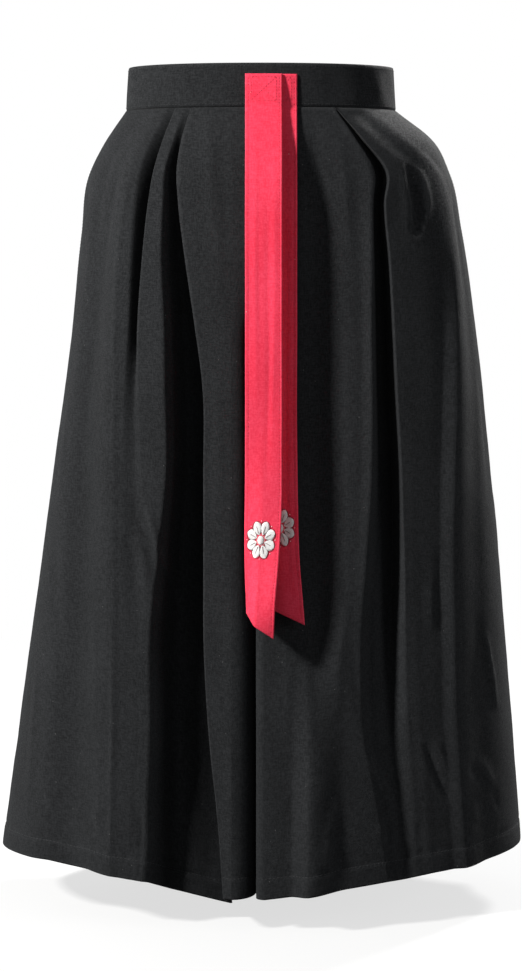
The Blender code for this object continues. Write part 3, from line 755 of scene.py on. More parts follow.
class Shades:
    """Shared shader nodes and node groups, each group built once.

    The stretches are how many times a noise repeats in a metre across the cloth, and along it.
    """

    WARP_STREAKS = (760.0, 120.0, 1.0)
    WEFT_STREAKS = (130.0, 700.0, 1.0)
    YARN_GRAIN = (400.0, 380.0, 1.0)
    BROAD_MOTTLE = (24.0, 14.0, 1.0)
    FINE_MOTTLE = (150.0, 110.0, 1.0)
    WEAR_AND_HIGHLIGHT_BREAKS = (420.0, 160.0, 1.0)
    LINT_SPREAD = (170.0, 120.0, 1.0)
    LINT_TURN = (0.0, 0.0, 0.6)
    LINT_CHANCE = 0.12
    WOBBLE_SCALE = 160.0
    WOBBLE_REACH = 0.0022

    @staticmethod
    def group(
        name: str, inputs: dict[str, float], outputs: tuple[str, ...]
    ) -> tuple[Tree, Node | None, Node | None]:
        """Start a node group with a vector input, or find it where it is built already.

        Args:
            name: the group's name.
            inputs: the names and values of its other inputs.
            outputs: the names of its outputs, which are all numbers.

        Returns:
            The group, its input node and its output node, or no nodes where it is built already.
        """
        found = bpy.data.node_groups.get(name)
        if found is not None:
            return found, None, None
        made = bpy.data.node_groups.new(name, "ShaderNodeTree")
        made.interface.new_socket("Vector", in_out="INPUT", socket_type="NodeSocketVector")
        for label, value in inputs.items():
            socket = made.interface.new_socket(label, in_out="INPUT", socket_type="NodeSocketFloat")
            socket.default_value = value
        for label in outputs:
            made.interface.new_socket(label, in_out="OUTPUT", socket_type="NodeSocketFloat")
        start = made.nodes.new("NodeGroupInput")
        end = made.nodes.new("NodeGroupOutput")
        return made, start, end

    @staticmethod
    def node(tree: Tree, kind: str, values: dict[str, object]) -> Node:
        """Add a shader node with its values: sockets to join, or numbers to set."""
        made = tree.nodes.new(f"ShaderNode{kind}")
        Shades.fill(tree, made, values)
        return made

    @staticmethod
    def fill(tree: Tree, node: Node, values: dict[str, object]) -> None:
        """Join sockets to a node's inputs, or set numbers on them, by the inputs' names."""
        for label, value in values.items():
            if isinstance(value, Socket):
                tree.links.new(value, node.inputs[label])
            else:
                node.inputs[label].default_value = value

    @staticmethod
    def math(tree: Tree, kind: str, *values: object) -> Socket:
        """Add a Math node and return its output. Values are sockets or numbers."""
        node = tree.nodes.new("ShaderNodeMath")
        node.operation = kind
        for socket, value in zip(node.inputs, values):
            if isinstance(value, Socket):
                tree.links.new(value, socket)
            else:
                socket.default_value = float(value)
        return node.outputs[0]

    @staticmethod
    def sum_of(tree: Tree, first: Socket, share: object, second: Socket, other_share: object) -> Socket:
        """Add two values, each times its own share, and return the output."""
        pairs = ((first, share), (second, other_share))
        return Shades.math(tree, "ADD", *(Shades.math(tree, "MULTIPLY", *pair) for pair in pairs))

    @staticmethod
    def remap(tree: Tree, value: Socket, low: float, high: float, to_low: float, to_high: float) -> Socket:
        """Map a value smoothly from one range to another and return the output."""
        ends = {"From Min": low, "From Max": high, "To Min": to_low, "To Max": to_high}
        node = Shades.node(tree, "MapRange", {"Value": value, **ends})
        node.interpolation_type = "SMOOTHSTEP"
        return node.outputs["Result"]

    @staticmethod
    def mix(tree: Tree, share: Socket, first: object, second: object) -> Socket:
        """Mix two colours, given as sockets or numbers, and return the output."""
        node = tree.nodes.new("ShaderNodeMix")
        node.data_type = "RGBA"
        node.clamp_factor = True
        tree.links.new(share, node.inputs["Factor"])
        for socket, value in ((node.inputs[6], first), (node.inputs[7], second)):
            if isinstance(value, Socket):
                tree.links.new(value, socket)
            else:
                socket.default_value = (*value, 1.0)
        return node.outputs[2]

    @staticmethod
    def noise_field(tree: Tree, vector: Socket, stretch: Triple, detail: float) -> Socket:
        """Add a noise over stretched coordinates and return its value, about 0.5 in the mean."""
        mapping = Shades.node(tree, "Mapping", {"Scale": stretch, "Vector": vector})
        values = {"Scale": 1.0, "Detail": detail, "Vector": mapping.outputs["Vector"]}
        return Shades.node(tree, "TexNoise", values).outputs["Fac"]

    @classmethod
    def weave(cls) -> Tree:
        """Return the plain weave: crossing threads that pass over and under, with uneven thickness."""
        tree, start, end = cls.group("plain_weave", {"Pitch": 0.0007, "Slub": 0.5}, ("Height", "Gap"))
        if start is None:
            return tree
        vector = start.outputs["Vector"]
        values = {"Scale": cls.WOBBLE_SCALE, "Detail": 2.0, "Vector": vector}
        wobble = cls.node(tree, "TexNoise", values)
        parts = cls.node(tree, "SeparateXYZ", {"Vector": vector})
        centred = cls.math(tree, "SUBTRACT", wobble.outputs["Fac"], 0.5)
        shift = cls.math(tree, "MULTIPLY", centred, cls.WOBBLE_REACH)
        shift = cls.math(tree, "MULTIPLY", shift, start.outputs["Slub"])
        u = cls.math(tree, "DIVIDE", cls.math(tree, "ADD", parts.outputs["X"], shift), start.outputs["Pitch"])
        v = cls.math(tree, "DIVIDE", cls.math(tree, "ADD", parts.outputs["Y"], shift), start.outputs["Pitch"])
        warp = cls.math(tree, "ABSOLUTE", cls.math(tree, "SINE", cls.math(tree, "MULTIPLY", u, math.pi)))
        weft = cls.math(tree, "ABSOLUTE", cls.math(tree, "SINE", cls.math(tree, "MULTIPLY", v, math.pi)))
        square = cls.math(tree, "ADD", cls.math(tree, "FLOOR", u), cls.math(tree, "FLOOR", v))
        over = cls.math(tree, "PINGPONG", square, 1.0)
        under = cls.math(tree, "SUBTRACT", 1.0, over)
        tree.links.new(cls.sum_of(tree, warp, over, weft, under), end.inputs["Height"])
        gap = cls.math(tree, "SUBTRACT", 1.0, cls.math(tree, "MAXIMUM", warp, weft))
        tree.links.new(gap, end.inputs["Gap"])
        return tree

    @classmethod
    def slubs(cls) -> Tree:
        """Return the uneven yarn: thick and thin streaks along both threads, and mottling over them."""
        tree, start, end = cls.group("slub_yarn", {"Mottle": 0.5}, ("Streaks", "Patches"))
        if start is None:
            return tree
        vector = start.outputs["Vector"]
        along_warp = cls.noise_field(tree, vector, cls.WARP_STREAKS, 2.0)
        along_weft = cls.noise_field(tree, vector, cls.WEFT_STREAKS, 2.0)
        grain = cls.noise_field(tree, vector, cls.YARN_GRAIN, 3.0)
        both_ways = cls.math(tree, "ADD", along_warp, along_weft)
        streaks = cls.sum_of(tree, both_ways, 0.32, grain, 0.36)
        tree.links.new(cls.remap(tree, streaks, 0.38, 0.62, 0.0, 1.0), end.inputs["Streaks"])
        mottle = start.outputs["Mottle"]
        broad = cls.noise_field(tree, vector, cls.BROAD_MOTTLE, 4.0)
        fine = cls.noise_field(tree, vector, cls.FINE_MOTTLE, 3.0)
        mixed = cls.sum_of(tree, broad, mottle, fine, cls.math(tree, "SUBTRACT", 1.0, mottle))
        tree.links.new(cls.remap(tree, mixed, 0.36, 0.64, 0.0, 1.0), end.inputs["Patches"])
        return tree

    @classmethod
    def edge_wear_and_highlight(cls) -> Tree:
        """Return the mask of wear and painted highlight: rubbed threads where the cloth is creased or turned,
        with a painted highlight along the creases' crests, broken up unevenly.
        """
        tree, start, end = cls.group("edge_wear_and_highlight", {"Worn": 0.0, "Amount": 0.5}, ("Mask",))
        if start is None:
            return tree
        broken = cls.noise_field(tree, start.outputs["Vector"], cls.WEAR_AND_HIGHLIGHT_BREAKS, 3.0)
        patchy = cls.remap(tree, broken, 0.38, 0.62, 0.15, 1.0)
        worn = cls.math(tree, "MULTIPLY", start.outputs["Worn"], patchy)
        tree.links.new(cls.math(tree, "MULTIPLY", worn, start.outputs["Amount"]), end.inputs["Mask"])
        return tree

    @classmethod
    def lint(cls) -> Tree:
        """Return the lint mask: a few pale specks and short fibres."""
        tree, start, end = cls.group("lint", {"Spread": 0.5}, ("Mask",))
        if start is None:
            return tree
        values = {"Scale": cls.LINT_SPREAD, "Rotation": cls.LINT_TURN, "Vector": start.outputs["Vector"]}
        mapping = cls.node(tree, "Mapping", values)
        cells = cls.node(tree, "TexVoronoi", {"Scale": 1.0, "Vector": mapping.outputs["Vector"]})
        speck = cls.remap(tree, cells.outputs["Distance"], 0.05, 0.11, 1.0, 0.0)
        chance = cls.node(tree, "SeparateColor", {"Color": cells.outputs["Color"]})
        few = cls.math(tree, "MULTIPLY", start.outputs["Spread"], cls.LINT_CHANCE)
        kept = cls.math(tree, "LESS_THAN", chance.outputs["Red"], few)
        tree.links.new(cls.math(tree, "MULTIPLY", speck, kept), end.inputs["Mask"])
        return tree


@dataclass(frozen=True)
class ClothFinish:
    """A woven cloth: its colours, its weave and its gloss."""

    name: str
    dark: Triple
    light: Triple
    # Colour of worn edges, and of the painted highlight along fold crests
    worn: Triple
    lint_colour: Triple
    pitch: float = 0.0007
    slub: float = 0.6
    mottle: float = 0.45
    # How strongly the worn edges and the painted crest highlight show
    wear_and_highlight: float = 0.5
    lint: float = 0.5
    rough_low: float = 0.78
    rough_high: float = 0.95
    sheen: float = 0.25
    specular: float = 0.25
    bump: float = 0.55
    bump_depth: float = 0.0005
    sheen_rough: float = 0.45
    streak_tone: float = 0.6
    patch_tone: float = 0.4
    gap_shade: float = 0.35
    weave_height: float = 0.35
    streak_height: float = 0.45
    patch_height: float = 0.6

    def material(self) -> Material:
        """Build the finish, or find it where it is built already."""
        found = bpy.data.materials.get(self.name)
        if found is not None:
            return found
        made = bpy.data.materials.new(self.name)
        made.use_nodes = True
        tree = made.node_tree
        shader = tree.nodes["Principled BSDF"]
        place = tree.nodes.new("ShaderNodeUVMap")
        place.uv_map = "cloth"
        vector = place.outputs["UV"]

        # Reads the mask of wear and painted highlight on fold crests
        rubbed_and_highlit = tree.nodes.new("ShaderNodeAttribute")
        rubbed_and_highlit.attribute_name = "wear_and_highlight"
        worn = {"Worn": rubbed_and_highlit.outputs["Fac"], "Amount": self.wear_and_highlight}
        weave = self._placed(tree, Shades.weave(), vector, {"Pitch": self.pitch, "Slub": self.slub})
        slubs = self._placed(tree, Shades.slubs(), vector, {"Mottle": self.mottle})
        wear_and_highlight = self._placed(tree, Shades.edge_wear_and_highlight(), vector, worn)
        lint = self._placed(tree, Shades.lint(), vector, {"Spread": self.lint})

        streaks, patches = slubs.outputs["Streaks"], slubs.outputs["Patches"]
        tone = Shades.sum_of(tree, streaks, self.streak_tone, patches, self.patch_tone)
        shade = Shades.math(tree, "MULTIPLY", weave.outputs["Gap"], self.gap_shade)
        tone = Shades.math(tree, "SUBTRACT", tone, shade)
        colour = Shades.mix(tree, tone, self.dark, self.light)
        # Lighter where the mask is: worn edges, and a painted highlight along fold crests
        colour = Shades.mix(tree, wear_and_highlight.outputs["Mask"], colour, self.worn)
        colour = Shades.mix(tree, lint.outputs["Mask"], colour, self.lint_colour)
        uneven = Shades.sum_of(tree, streaks, self.streak_height, patches, self.patch_height)
        threads = Shades.math(tree, "MULTIPLY", weave.outputs["Height"], self.weave_height)
        height = Shades.math(tree, "ADD", threads, uneven)
        bumps = {"Strength": self.bump, "Distance": self.bump_depth, "Height": height}
        looks = {
            "Base Color": colour,
            "Roughness": Shades.remap(tree, streaks, 0.0, 1.0, self.rough_high, self.rough_low),
            "Metallic": 0.0,
            "Specular IOR Level": self.specular,
            "Sheen Weight": self.sheen,
            "Sheen Roughness": self.sheen_rough,
            "Normal": Shades.node(tree, "Bump", bumps).outputs["Normal"],
        }
        Shades.fill(tree, shader, looks)
        return made

    @staticmethod
    def _placed(tree: Tree, group: Tree, vector: Socket, values: dict[str, object]) -> Node:
        """Place a node group in a material with its own values."""
        node = tree.nodes.new("ShaderNodeGroup")
        node.node_tree = group
        Shades.fill(tree, node, {"Vector": vector, **values})
        return node


@dataclass(frozen=True)
class ThreadFinish:
    """A sewing or embroidery thread: its colours and gloss."""

    name: str
    dark: Triple
    light: Triple
    rough: float = 0.5
    sheen: float = 0.2
    fibre_scale: float = 2600.0
    patch_scale: float = 260.0
    specular: float = 0.35
    bump: float = 0.4
    bump_depth: float = 0.0001

    def material(self) -> Material:
        """Build the finish, or find it where it is built already."""
        found = bpy.data.materials.get(self.name)
        if found is not None:
            return found
        made = bpy.data.materials.new(self.name)
        made.use_nodes = True
        tree = made.node_tree
        shader = tree.nodes["Principled BSDF"]
        place = tree.nodes.new("ShaderNodeTexCoord")
        vector = place.outputs["Object"]
        fibres = Shades.noise_field(tree, vector, (self.fibre_scale,) * 3, 2.0)
        patches = Shades.noise_field(tree, vector, (self.patch_scale,) * 3, 2.0)
        tone = Shades.sum_of(tree, fibres, 0.5, patches, 0.5)
        tone = Shades.remap(tree, tone, 0.36, 0.64, 0.0, 1.0)
        bumps = {"Strength": self.bump, "Distance": self.bump_depth, "Height": fibres}
        looks = {
            "Base Color": Shades.mix(tree, tone, self.dark, self.light),
            "Roughness": Shades.remap(tree, fibres, 0.3, 0.7, self.rough + 0.12, self.rough - 0.08),
            "Sheen Weight": self.sheen,
            "Specular IOR Level": self.specular,
            "Normal": Shades.node(tree, "Bump", bumps).outputs["Normal"],
        }
        Shades.fill(tree, shader, looks)
        return made


BLACK_CLOTH = ClothFinish(
    "black_linen",
    (0.0072, 0.0079, 0.0089),
    (0.0180, 0.0194, 0.0214),
    # Colour of worn edges, also the painted highlight on fold crests
    (0.042, 0.044, 0.047),
    (0.10, 0.10, 0.10),
    sheen=0.03,
)
LINING_CLOTH = ClothFinish(
    "pocket_lining",
    (0.014, 0.0145, 0.016),
    (0.026, 0.027, 0.030),
    (0.040, 0.040, 0.043),
    (0.10, 0.10, 0.10),
    pitch=0.0005,
    slub=0.3,
    wear_and_highlight=0.3,
    sheen=0.03,
    bump=0.35,
)
RED_CLOTH = ClothFinish(
    "red_cotton",
    (0.88, 0.032, 0.074),
    (1.0, 0.070, 0.138),
    # Colour of worn edges, also the painted highlight on fold crests
    (0.98, 0.12, 0.18),
    (0.90, 0.40, 0.42),
    pitch=0.0005,
    slub=0.35,
    mottle=0.6,
    wear_and_highlight=0.35,
    lint=0.15,
    sheen=0.03,
    bump=0.3,
    bump_depth=0.0003,
)
BLACK_THREAD = ThreadFinish("black_thread", (0.012, 0.0125, 0.014), (0.028, 0.029, 0.031), 0.55, 0.03)
RED_THREAD = ThreadFinish("red_thread", (0.55, 0.008, 0.035), (0.78, 0.020, 0.065))
WHITE_THREAD = ThreadFinish("white_embroidery_thread", (0.88, 0.87, 0.86), (0.98, 0.97, 0.96), 0.5, 0.1)
OUTLINE_THREAD = ThreadFinish("dark_red_embroidery_thread", (0.070, 0.003, 0.010), (0.13, 0.006, 0.018))


@dataclass
class Panel:
    """One leg's front or back: a single cut piece with its long folds, small creases and turned hem."""

    form: Form
    side: Side
    face: Face
    flat: tuple[float, float]
    area: float
    inner_reach: float = 0.034
    wall_columns: int = 22
    turn_columns: int = 10
    start_columns: int = 4
    side_columns: int = 22
    back_columns: int = 4
    row_step: float = 0.0043
    cloth: float = 0.0013
    turned_cloth: float = 0.0024
    hem_depth: float = 0.026
    mouth_top: float = -0.092
    mouth_bottom: float = -0.250
    mouth_slit: float = 0.0024
    mouth_insets: Row = (0.0055, 0.0085)
    bar_reach: float = 0.010
    hem_rows: int = 12
    edge_fade: float = 0.012
    tangent_step: float = 0.0012
    pucker_spacing: float = 0.017
    thread_radius: float = 0.00028
    sewn_samples: int = 1400
    gathers: int = 9
    gather_stand: Row = (1.1, 3.0, 2.8, 2.0, 0.9, 0.0, 0.0, 0.0)

    @property
    def name(self) -> str:
        """Return the name of the node that this piece stands for."""
        return f"{self.face.name.lower()}_{self.side.name.lower()}"

    def levels(self) -> np.ndarray:
        """Return the levels of the rows, closer together at the crotch and the hem."""
        near_crotch = RISE_TOP - np.array([0.985, 0.992, 0.9965, 0.999, 1.0]) * (RISE_TOP - CROTCH)
        rows_above = round((PANEL_TOP - near_crotch[0]) / self.row_step)
        above = np.linspace(PANEL_TOP, near_crotch[0], rows_above + 1)
        hem_line = HEM_LEVEL + self.hem_depth
        below = np.linspace(CROTCH, hem_line, round((CROTCH - hem_line) / self.row_step) + 1)[1:]
        hem = np.linspace(hem_line, HEM_LEVEL, self.hem_rows + 1)[1:]
        return np.concatenate([above, near_crotch[1:], below, hem])

    def side_end(self, level: float, along: np.ndarray) -> float:
        """Return where the panel ends: a front panel stands back from the pocket's mouth."""
        if self.face == Face.BACK:
            return float(along[-1])
        middle = (self.mouth_top + self.mouth_bottom) / 2
        half = (self.mouth_top - self.mouth_bottom) / 2
        return float(along[-1] - self.mouth_slit * float(ease((1 - abs(level - middle) / half) * 3)))

    def marks(
        self, level: float, line: Outline, end: float
    ) -> tuple[np.ndarray, np.ndarray, np.ndarray, list[int]]:
        """Work out the long folds at one level.

        Args:
            level: the height.
            line: the plain outline there.
            end: where the panel ends along it.

        Returns:
            The folds' places along the line, their stand, their sharpness, and the columns between them.
        """
        reach_out = line.points[self.form.inner_points - 1 :, 0]
        so_far = line.along[self.form.inner_points - 1 :]
        start = float(np.interp(self.inner_reach, reach_out, so_far))
        if self.face == Face.FRONT:
            folds = FRONT_FOLDS[self.side]
            reach = [value_at(level, FOLD_LEVELS, f.place) * MM for f in folds]
            places = np.interp(reach, reach_out, so_far)
            stand = np.array([value_at(level, FOLD_LEVELS, f.stand) * MM for f in folds])
            low = float(ease((CREASES_SOFTEN - level) / SOFTENING_RUN))
            sharp = np.array([f.sharp * (1 - f.softens * low) for f in folds])
            steps = [f.columns for f in folds] + [self.side_columns, 1]
        else:
            count = 2 * self.gathers
            shares = np.arange(1, count) / count
            folds = BACK_FOLDS[self.side]
            tall = [value_at(level, BACK_LEVELS, f.stand) * MM for f in folds]
            knots = np.array([0, *[f.place[0] for f in folds], 1])
            heights = np.array([0, *tall, 0])
            stand = self.between(shares, knots, heights)
            gather = value_at(level, BACK_LEVELS, self.gather_stand) * MM
            strength = np.array(GATHER_STRENGTH[self.side])
            runs_out = np.exp(-(((PANEL_TOP - level) / MM / np.array(GATHER_RUN[self.side])) ** 2) * 1.2)
            stand = stand + gather * strength * runs_out * np.where(np.arange(1, count) % 2, 1, -1)
            sway = 0.012 * np.sin(level * 9 + np.arange(1, count) * 1.7) * ease((PANEL_TOP - level) / 0.2)
            places = start + (shares + sway * (1 - shares) * shares * 4) * (end - SEAM_FLAT - start)
            sharp = np.full(count - 1, 0.12)
            steps = [self.back_columns] * count + [1]
        places = np.concatenate([[start], places, [end - SEAM_FLAT, end]])
        return places, np.concatenate([[0], stand, [0, 0]]), np.concatenate([[0.3], sharp, [0, 0]]), steps

    @staticmethod
    def between(at: np.ndarray, places: np.ndarray, values: np.ndarray) -> np.ndarray:
        """Return values between marks, level at each mark and smooth between two of them."""
        i = np.clip(np.searchsorted(places, at, side="right") - 1, 0, len(places) - 2)
        t = ease((at - places[i]) / (places[i + 1] - places[i]))
        return values[i] + (values[i + 1] - values[i]) * t

    def row(self, level: float) -> tuple[np.ndarray, np.ndarray, np.ndarray]:
        """Work out one row of the outer surface in the panel's own quarter.

        Args:
            level: the row's level.

        Returns:
            The points with their heights, the directions out of the cloth, and each point's distance along
            the plain outline as a pair: from the middle, and as a share of the way to the side seam.
        """
        line = self.form.outline(self.side, self.face, level)
        end = self.side_end(level, line.along)
        places, stand, sharp, steps = self.marks(level, line, end)
        at, lifted = [self.inner_columns(places[0], line)], [np.zeros(self.inner_count() + 1)]
        for i, count in enumerate(steps):
            share = np.linspace(0, 1, count + 1)[1:]
            crowd = 0.5 * max(sharp[i], sharp[i + 1])
            share = (1 - crowd) * share + crowd * ease(share)
            low, high = sharp[i], sharp[i + 1]
            rise = (share**3 - 2 * share**2 + share) * low + ease(share) + (share**3 - share**2) * high
            at.append(places[i] + (places[i + 1] - places[i]) * share)
            lifted.append(stand[i] + (stand[i + 1] - stand[i]) * rise)
        at, lifted = np.concatenate(at), np.concatenate(lifted)
        here = line.at(at)
        ahead = line.at(np.clip(at + self.tangent_step, 0, line.along[-1]))
        tangent = ahead - line.at(np.clip(at - self.tangent_step, 0, line.along[-1]))
        tangent /= np.linalg.norm(tangent, axis=1)[:, None]
        out = np.stack([-tangent[:, 1], tangent[:, 0]], axis=1)
        points = here + out * lifted[:, None]
        points[-2, 0] = points[-1, 0]
        sideways = np.clip((at - line.turn_end) / (line.along[-1] - line.turn_end), 0, 1)
        heights = self.form.drop(self.side, level, sideways) - self.form.sag(level, lifted)
        share = (at - places[0]) / (end - places[0])
        from_middle = at - line.turn_end + line.points[self.form.inner_points - 1, 0]
        return np.column_stack([points, heights]), out, np.column_stack([from_middle, share])

    def inner_count(self) -> int:
        """Return the number of columns of the inner wall and its corner."""
        return self.wall_columns + self.turn_columns + self.start_columns

    def inner_columns(self, start: float, line: Outline) -> np.ndarray:
        """Return where the inner columns lie, evenly spread where there is no wall yet."""
        even = np.linspace(0, start, self.inner_count() + 1)
        marks = (0, line.wall_end, line.turn_end, start)
        counts = (self.wall_columns, self.turn_columns, self.start_columns)
        spans = [np.linspace(marks[i], marks[i + 1], n + 1)[1:] for i, n in enumerate(counts)]
        shaped = np.concatenate([[0], *spans])
        share = float(ease(line.groove / self.form.corner_groove))
        return (1 - share) * even + share * shaped

    def relief(self, place: np.ndarray, level: np.ndarray, reach_of_share: np.ndarray) -> np.ndarray:
        """Work out the small creases' height at each point.

        Args:
            place: each point's distance from the middle along the cloth, in metres.
            level: each point's height.
            reach_of_share: the way from the middle to the side seam at each row, in metres.

        Returns:
            The height to add at each point, in metres.
        """
        creases = FRONT_CREASES[self.side] if self.face == Face.FRONT else BACK_CREASES[self.side]
        total = np.zeros(place.shape)
        for crease in creases:
            path = np.array(crease.path, float)
            down = path[:, 1] * MM
            if self.face == Face.FRONT:
                across = np.array([self.girth_at(x * MM, z) for x, z in zip(path[:, 0], down)])
            else:
                across = 0.034 + path[:, 0] * np.interp(-down, -level[:, 0], reach_of_share)
            total += self.one_crease(crease, np.column_stack([across, down]), place, level)
        return total

    def girth_at(self, reach: float, level: float) -> float:
        """Return how far along the cloth a point is that lies that far from the middle plane."""
        line = self.form.outline(self.side, self.face, level)
        first = self.form.inner_points - 1
        along = np.interp(reach, line.points[first:, 0], line.along[first:])
        return float(along - line.turn_end + line.points[first, 0])

    @staticmethod
    def one_crease(crease: Crease, path: np.ndarray, place: np.ndarray, level: np.ndarray) -> np.ndarray:
        """Return one crease's height at each point, faded out at both ends of its path."""
        fine = np.linspace(0, len(path) - 1, 24)
        line = np.column_stack([np.interp(fine, range(len(path)), path[:, k]) for k in (0, 1)])
        line[1:-1] = (line[:-2] + 2 * line[1:-1] + line[2:]) / 4
        nearest = np.full(place.shape, np.inf)
        aside, progress = np.zeros(place.shape), np.zeros(place.shape)
        for k, (start, end) in enumerate(zip(line, line[1:])):
            step = end - start
            size = max(float(step @ step), 1e-12)
            t = np.clip(((place - start[0]) * step[0] + (level - start[1]) * step[1]) / size, 0, 1)
            dx, dz = place - start[0] - t * step[0], level - start[1] - t * step[1]
            distance = dx * dx + dz * dz
            closer = distance < nearest
            nearest = np.where(closer, distance, nearest)
            aside = np.where(closer, dx, aside)
            progress = np.where(closer, (k + t) / (len(line) - 1), progress)
        width = crease.width * MM * np.where(aside > 0, crease.lean, 1.0)
        fade = np.sin(np.clip(progress, 0, 1) * math.pi) ** 0.6
        spread = nearest / width**2
        return crease.height * MM * (1 - 0.35 * spread) * np.exp(-spread) * fade

    def unevenness(self, place: np.ndarray, level: np.ndarray) -> np.ndarray:
        """Return the cloth's own soft unevenness, which no fold table holds, in metres."""
        seed = 3.1 * self.side.value + 7.7 * self.face.value
        broad = np.empty(place.shape)
        for index, (a, b) in enumerate(zip(place.ravel(), level.ravel())):
            broad.flat[index] = (
                0.9 * noise.noise(Vector((a * 11, b * 6, seed)))
                + 0.35 * noise.noise(Vector((a * 34, b * 21, seed + 5)))
                + 0.16 * noise.noise(Vector((a * 85, b * 60, seed + 9)))
            )
        return broad * MM

    def hem_work(self, place: np.ndarray, above_hem: np.ndarray) -> np.ndarray:
        """Return the height that the hem's turning adds: a ridge of doubled cloth, its seam and puckers."""
        seed = 5.3 * self.side.value + 2.9 * self.face.value
        pucker = (
            np.sin(place * 2 * math.pi / self.pucker_spacing + seed + 2.2 * np.sin(place * 31 + seed))
            * (0.6 + 0.4 * np.sin(place * 57 + 2 * seed))
        )
        at_seam = np.exp(-(((above_hem - self.hem_depth) / 0.0026) ** 2))
        around = np.exp(-(((above_hem - self.hem_depth) / 0.011) ** 2))
        within = ease((self.hem_depth - above_hem) / 0.004)
        rim = np.exp(-((above_hem / 0.003) ** 2))
        return MM * (0.35 * within - 0.75 * at_seam + 0.42 * pucker * around - 0.35 * rim)

    def build(self) -> tuple[Sheet, np.ndarray, np.ndarray]:
        """Work out the panel's surface.

        Returns:
            The sheet, its mask of wear and painted highlight, and its share of turned cloth at each point.
        """
        levels = self.levels()
        rows = [self.row(level) for level in levels]
        points = np.array([r[0] for r in rows])
        out = np.array([r[1] for r in rows])
        place = np.array([r[2][:, 0] for r in rows])
        share = np.array([r[2][:, 1] for r in rows])
        height = np.repeat(levels[:, None], place.shape[1], axis=1)
        first = self.inner_count()
        reach = place[:, -1] - place[:, first]
        added = self.relief(place, height, reach) + self.unevenness(place, height)
        above_hem = height - HEM_LEVEL
        lengths = np.linalg.norm(np.diff(points, axis=1), axis=2)
        along = np.concatenate([np.zeros((len(levels), 1)), np.cumsum(lengths, axis=1)], axis=1)
        added += self.hem_work(along - along[:, first : first + 1], above_hem)
        edges = ease((along[:, -1:] - along) / self.edge_fade) * ease(along / self.edge_fade)
        edges = edges * ease((PANEL_TOP - height) / 0.020)
        fade = edges * (0.25 + 0.75 * ease((place - 0.004) / 0.03))
        points[:, :, :2] += out * (added * fade)[:, :, None]
        rolled = 0.0007 * np.exp(-(((along[:, -1:] - along) / 0.003) ** 2))
        if self.face == Face.BACK:
            points[:, :, :2] -= out * rolled[:, :, None] * 0.5
        placed = points * np.array([self.side.value, self.face.value, 1])
        flat = np.stack([self.side.value * (along - along[:, first : first + 1]), height], axis=-1)
        flat[:, :, 0] += 0.5 * self.face.value
        sheet = Sheet(placed, flat, self.side.value * self.face.value)
        # The sharpness part paints a highlight on fold crests; the rubbed hem edge and the hem's stitch line
        # are wear
        wear_and_highlight = sheet.sharpness() * 0.6
        wear_and_highlight = np.maximum(wear_and_highlight, 0.9 * np.exp(-((above_hem / 0.003) ** 2)))
        wear_and_highlight = np.maximum(wear_and_highlight, 0.15 * np.exp(-(((above_hem - self.hem_depth) / 0.004) ** 2)))
        turned = np.where(above_hem <= self.hem_depth, 1.0, self.cloth / self.turned_cloth)
        return sheet, wear_and_highlight, turned

    def make(self) -> list[Piece]:
        """Make the panel and its stitching.

        Returns:
            The panel first, then what is sewn on it.
        """
        sheet, wear_and_highlight, turned = self.build()
        panel = Workshop.cloth(f"{self.name}_cloth", sheet, self.turned_cloth, False, wear_and_highlight, turned)
        Workshop.dress(panel, BLACK_CLOTH.material())
        thread = Thread(self.thread_radius)
        levels = self.levels()
        columns = np.linspace(0.3, sheet.points.shape[1] - 1.3, self.sewn_samples)
        row = np.interp(-(HEM_LEVEL + self.hem_depth - 0.002), -levels, np.arange(len(levels)))
        StitchLine(sheet, HEM_STITCH).sew(thread, np.full(self.sewn_samples, row), columns)
        if self.face == Face.FRONT:
            self.sew_mouth(sheet, levels, thread)
        sewn = thread.make(f"{self.name}_stitching", BLACK_THREAD)
        area = sum(polygon.area for polygon in panel.data.polygons) / 2
        hem = float(distances(sheet.points[-1])[-1])
        LOG.info("%s: %d faces, surface %.3f m2, hem %.3f m", panel.name, len(panel.data.polygons), area, hem)
        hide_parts(self.name)
        f"waistband_{self.face.name.lower()}"
        return [panel, sewn]

    def sew_mouth(self, sheet: Sheet, levels: np.ndarray, thread: Thread) -> None:
        """Sew the pocket's mouth: two rows along its edge, and a close bar across each end."""
        last = sheet.points.shape[1] - 1
        lengths = np.linalg.norm(np.diff(sheet.points, axis=1), axis=2)
        inward = np.cumsum(lengths[:, ::-1], axis=1)[:, ::-1]
        from_edge = np.concatenate([inward, np.zeros((len(levels), 1))], axis=1)
        wanted = np.linspace(self.mouth_top, self.mouth_bottom, 240)
        rows = np.interp(-wanted, -levels, np.arange(len(levels)))
        for inset in self.mouth_insets:
            columns = np.array([np.interp(-inset, -from_edge[round(r)], np.arange(last + 1)) for r in rows])
            StitchLine(sheet, MOUTH_STITCH).sew(thread, rows, columns)
        for level in (self.mouth_top, self.mouth_bottom):
            for k in range(9):
                row = np.interp(-(level + (k - 4) * 0.0007), -levels, np.arange(len(levels)))
                inner = np.interp(-self.bar_reach, -from_edge[round(row)], np.arange(last + 1))
                columns = np.linspace(inner, last - 0.3, 30)
                StitchLine(sheet, BAR_STITCH).sew(thread, np.full(30, row), columns)


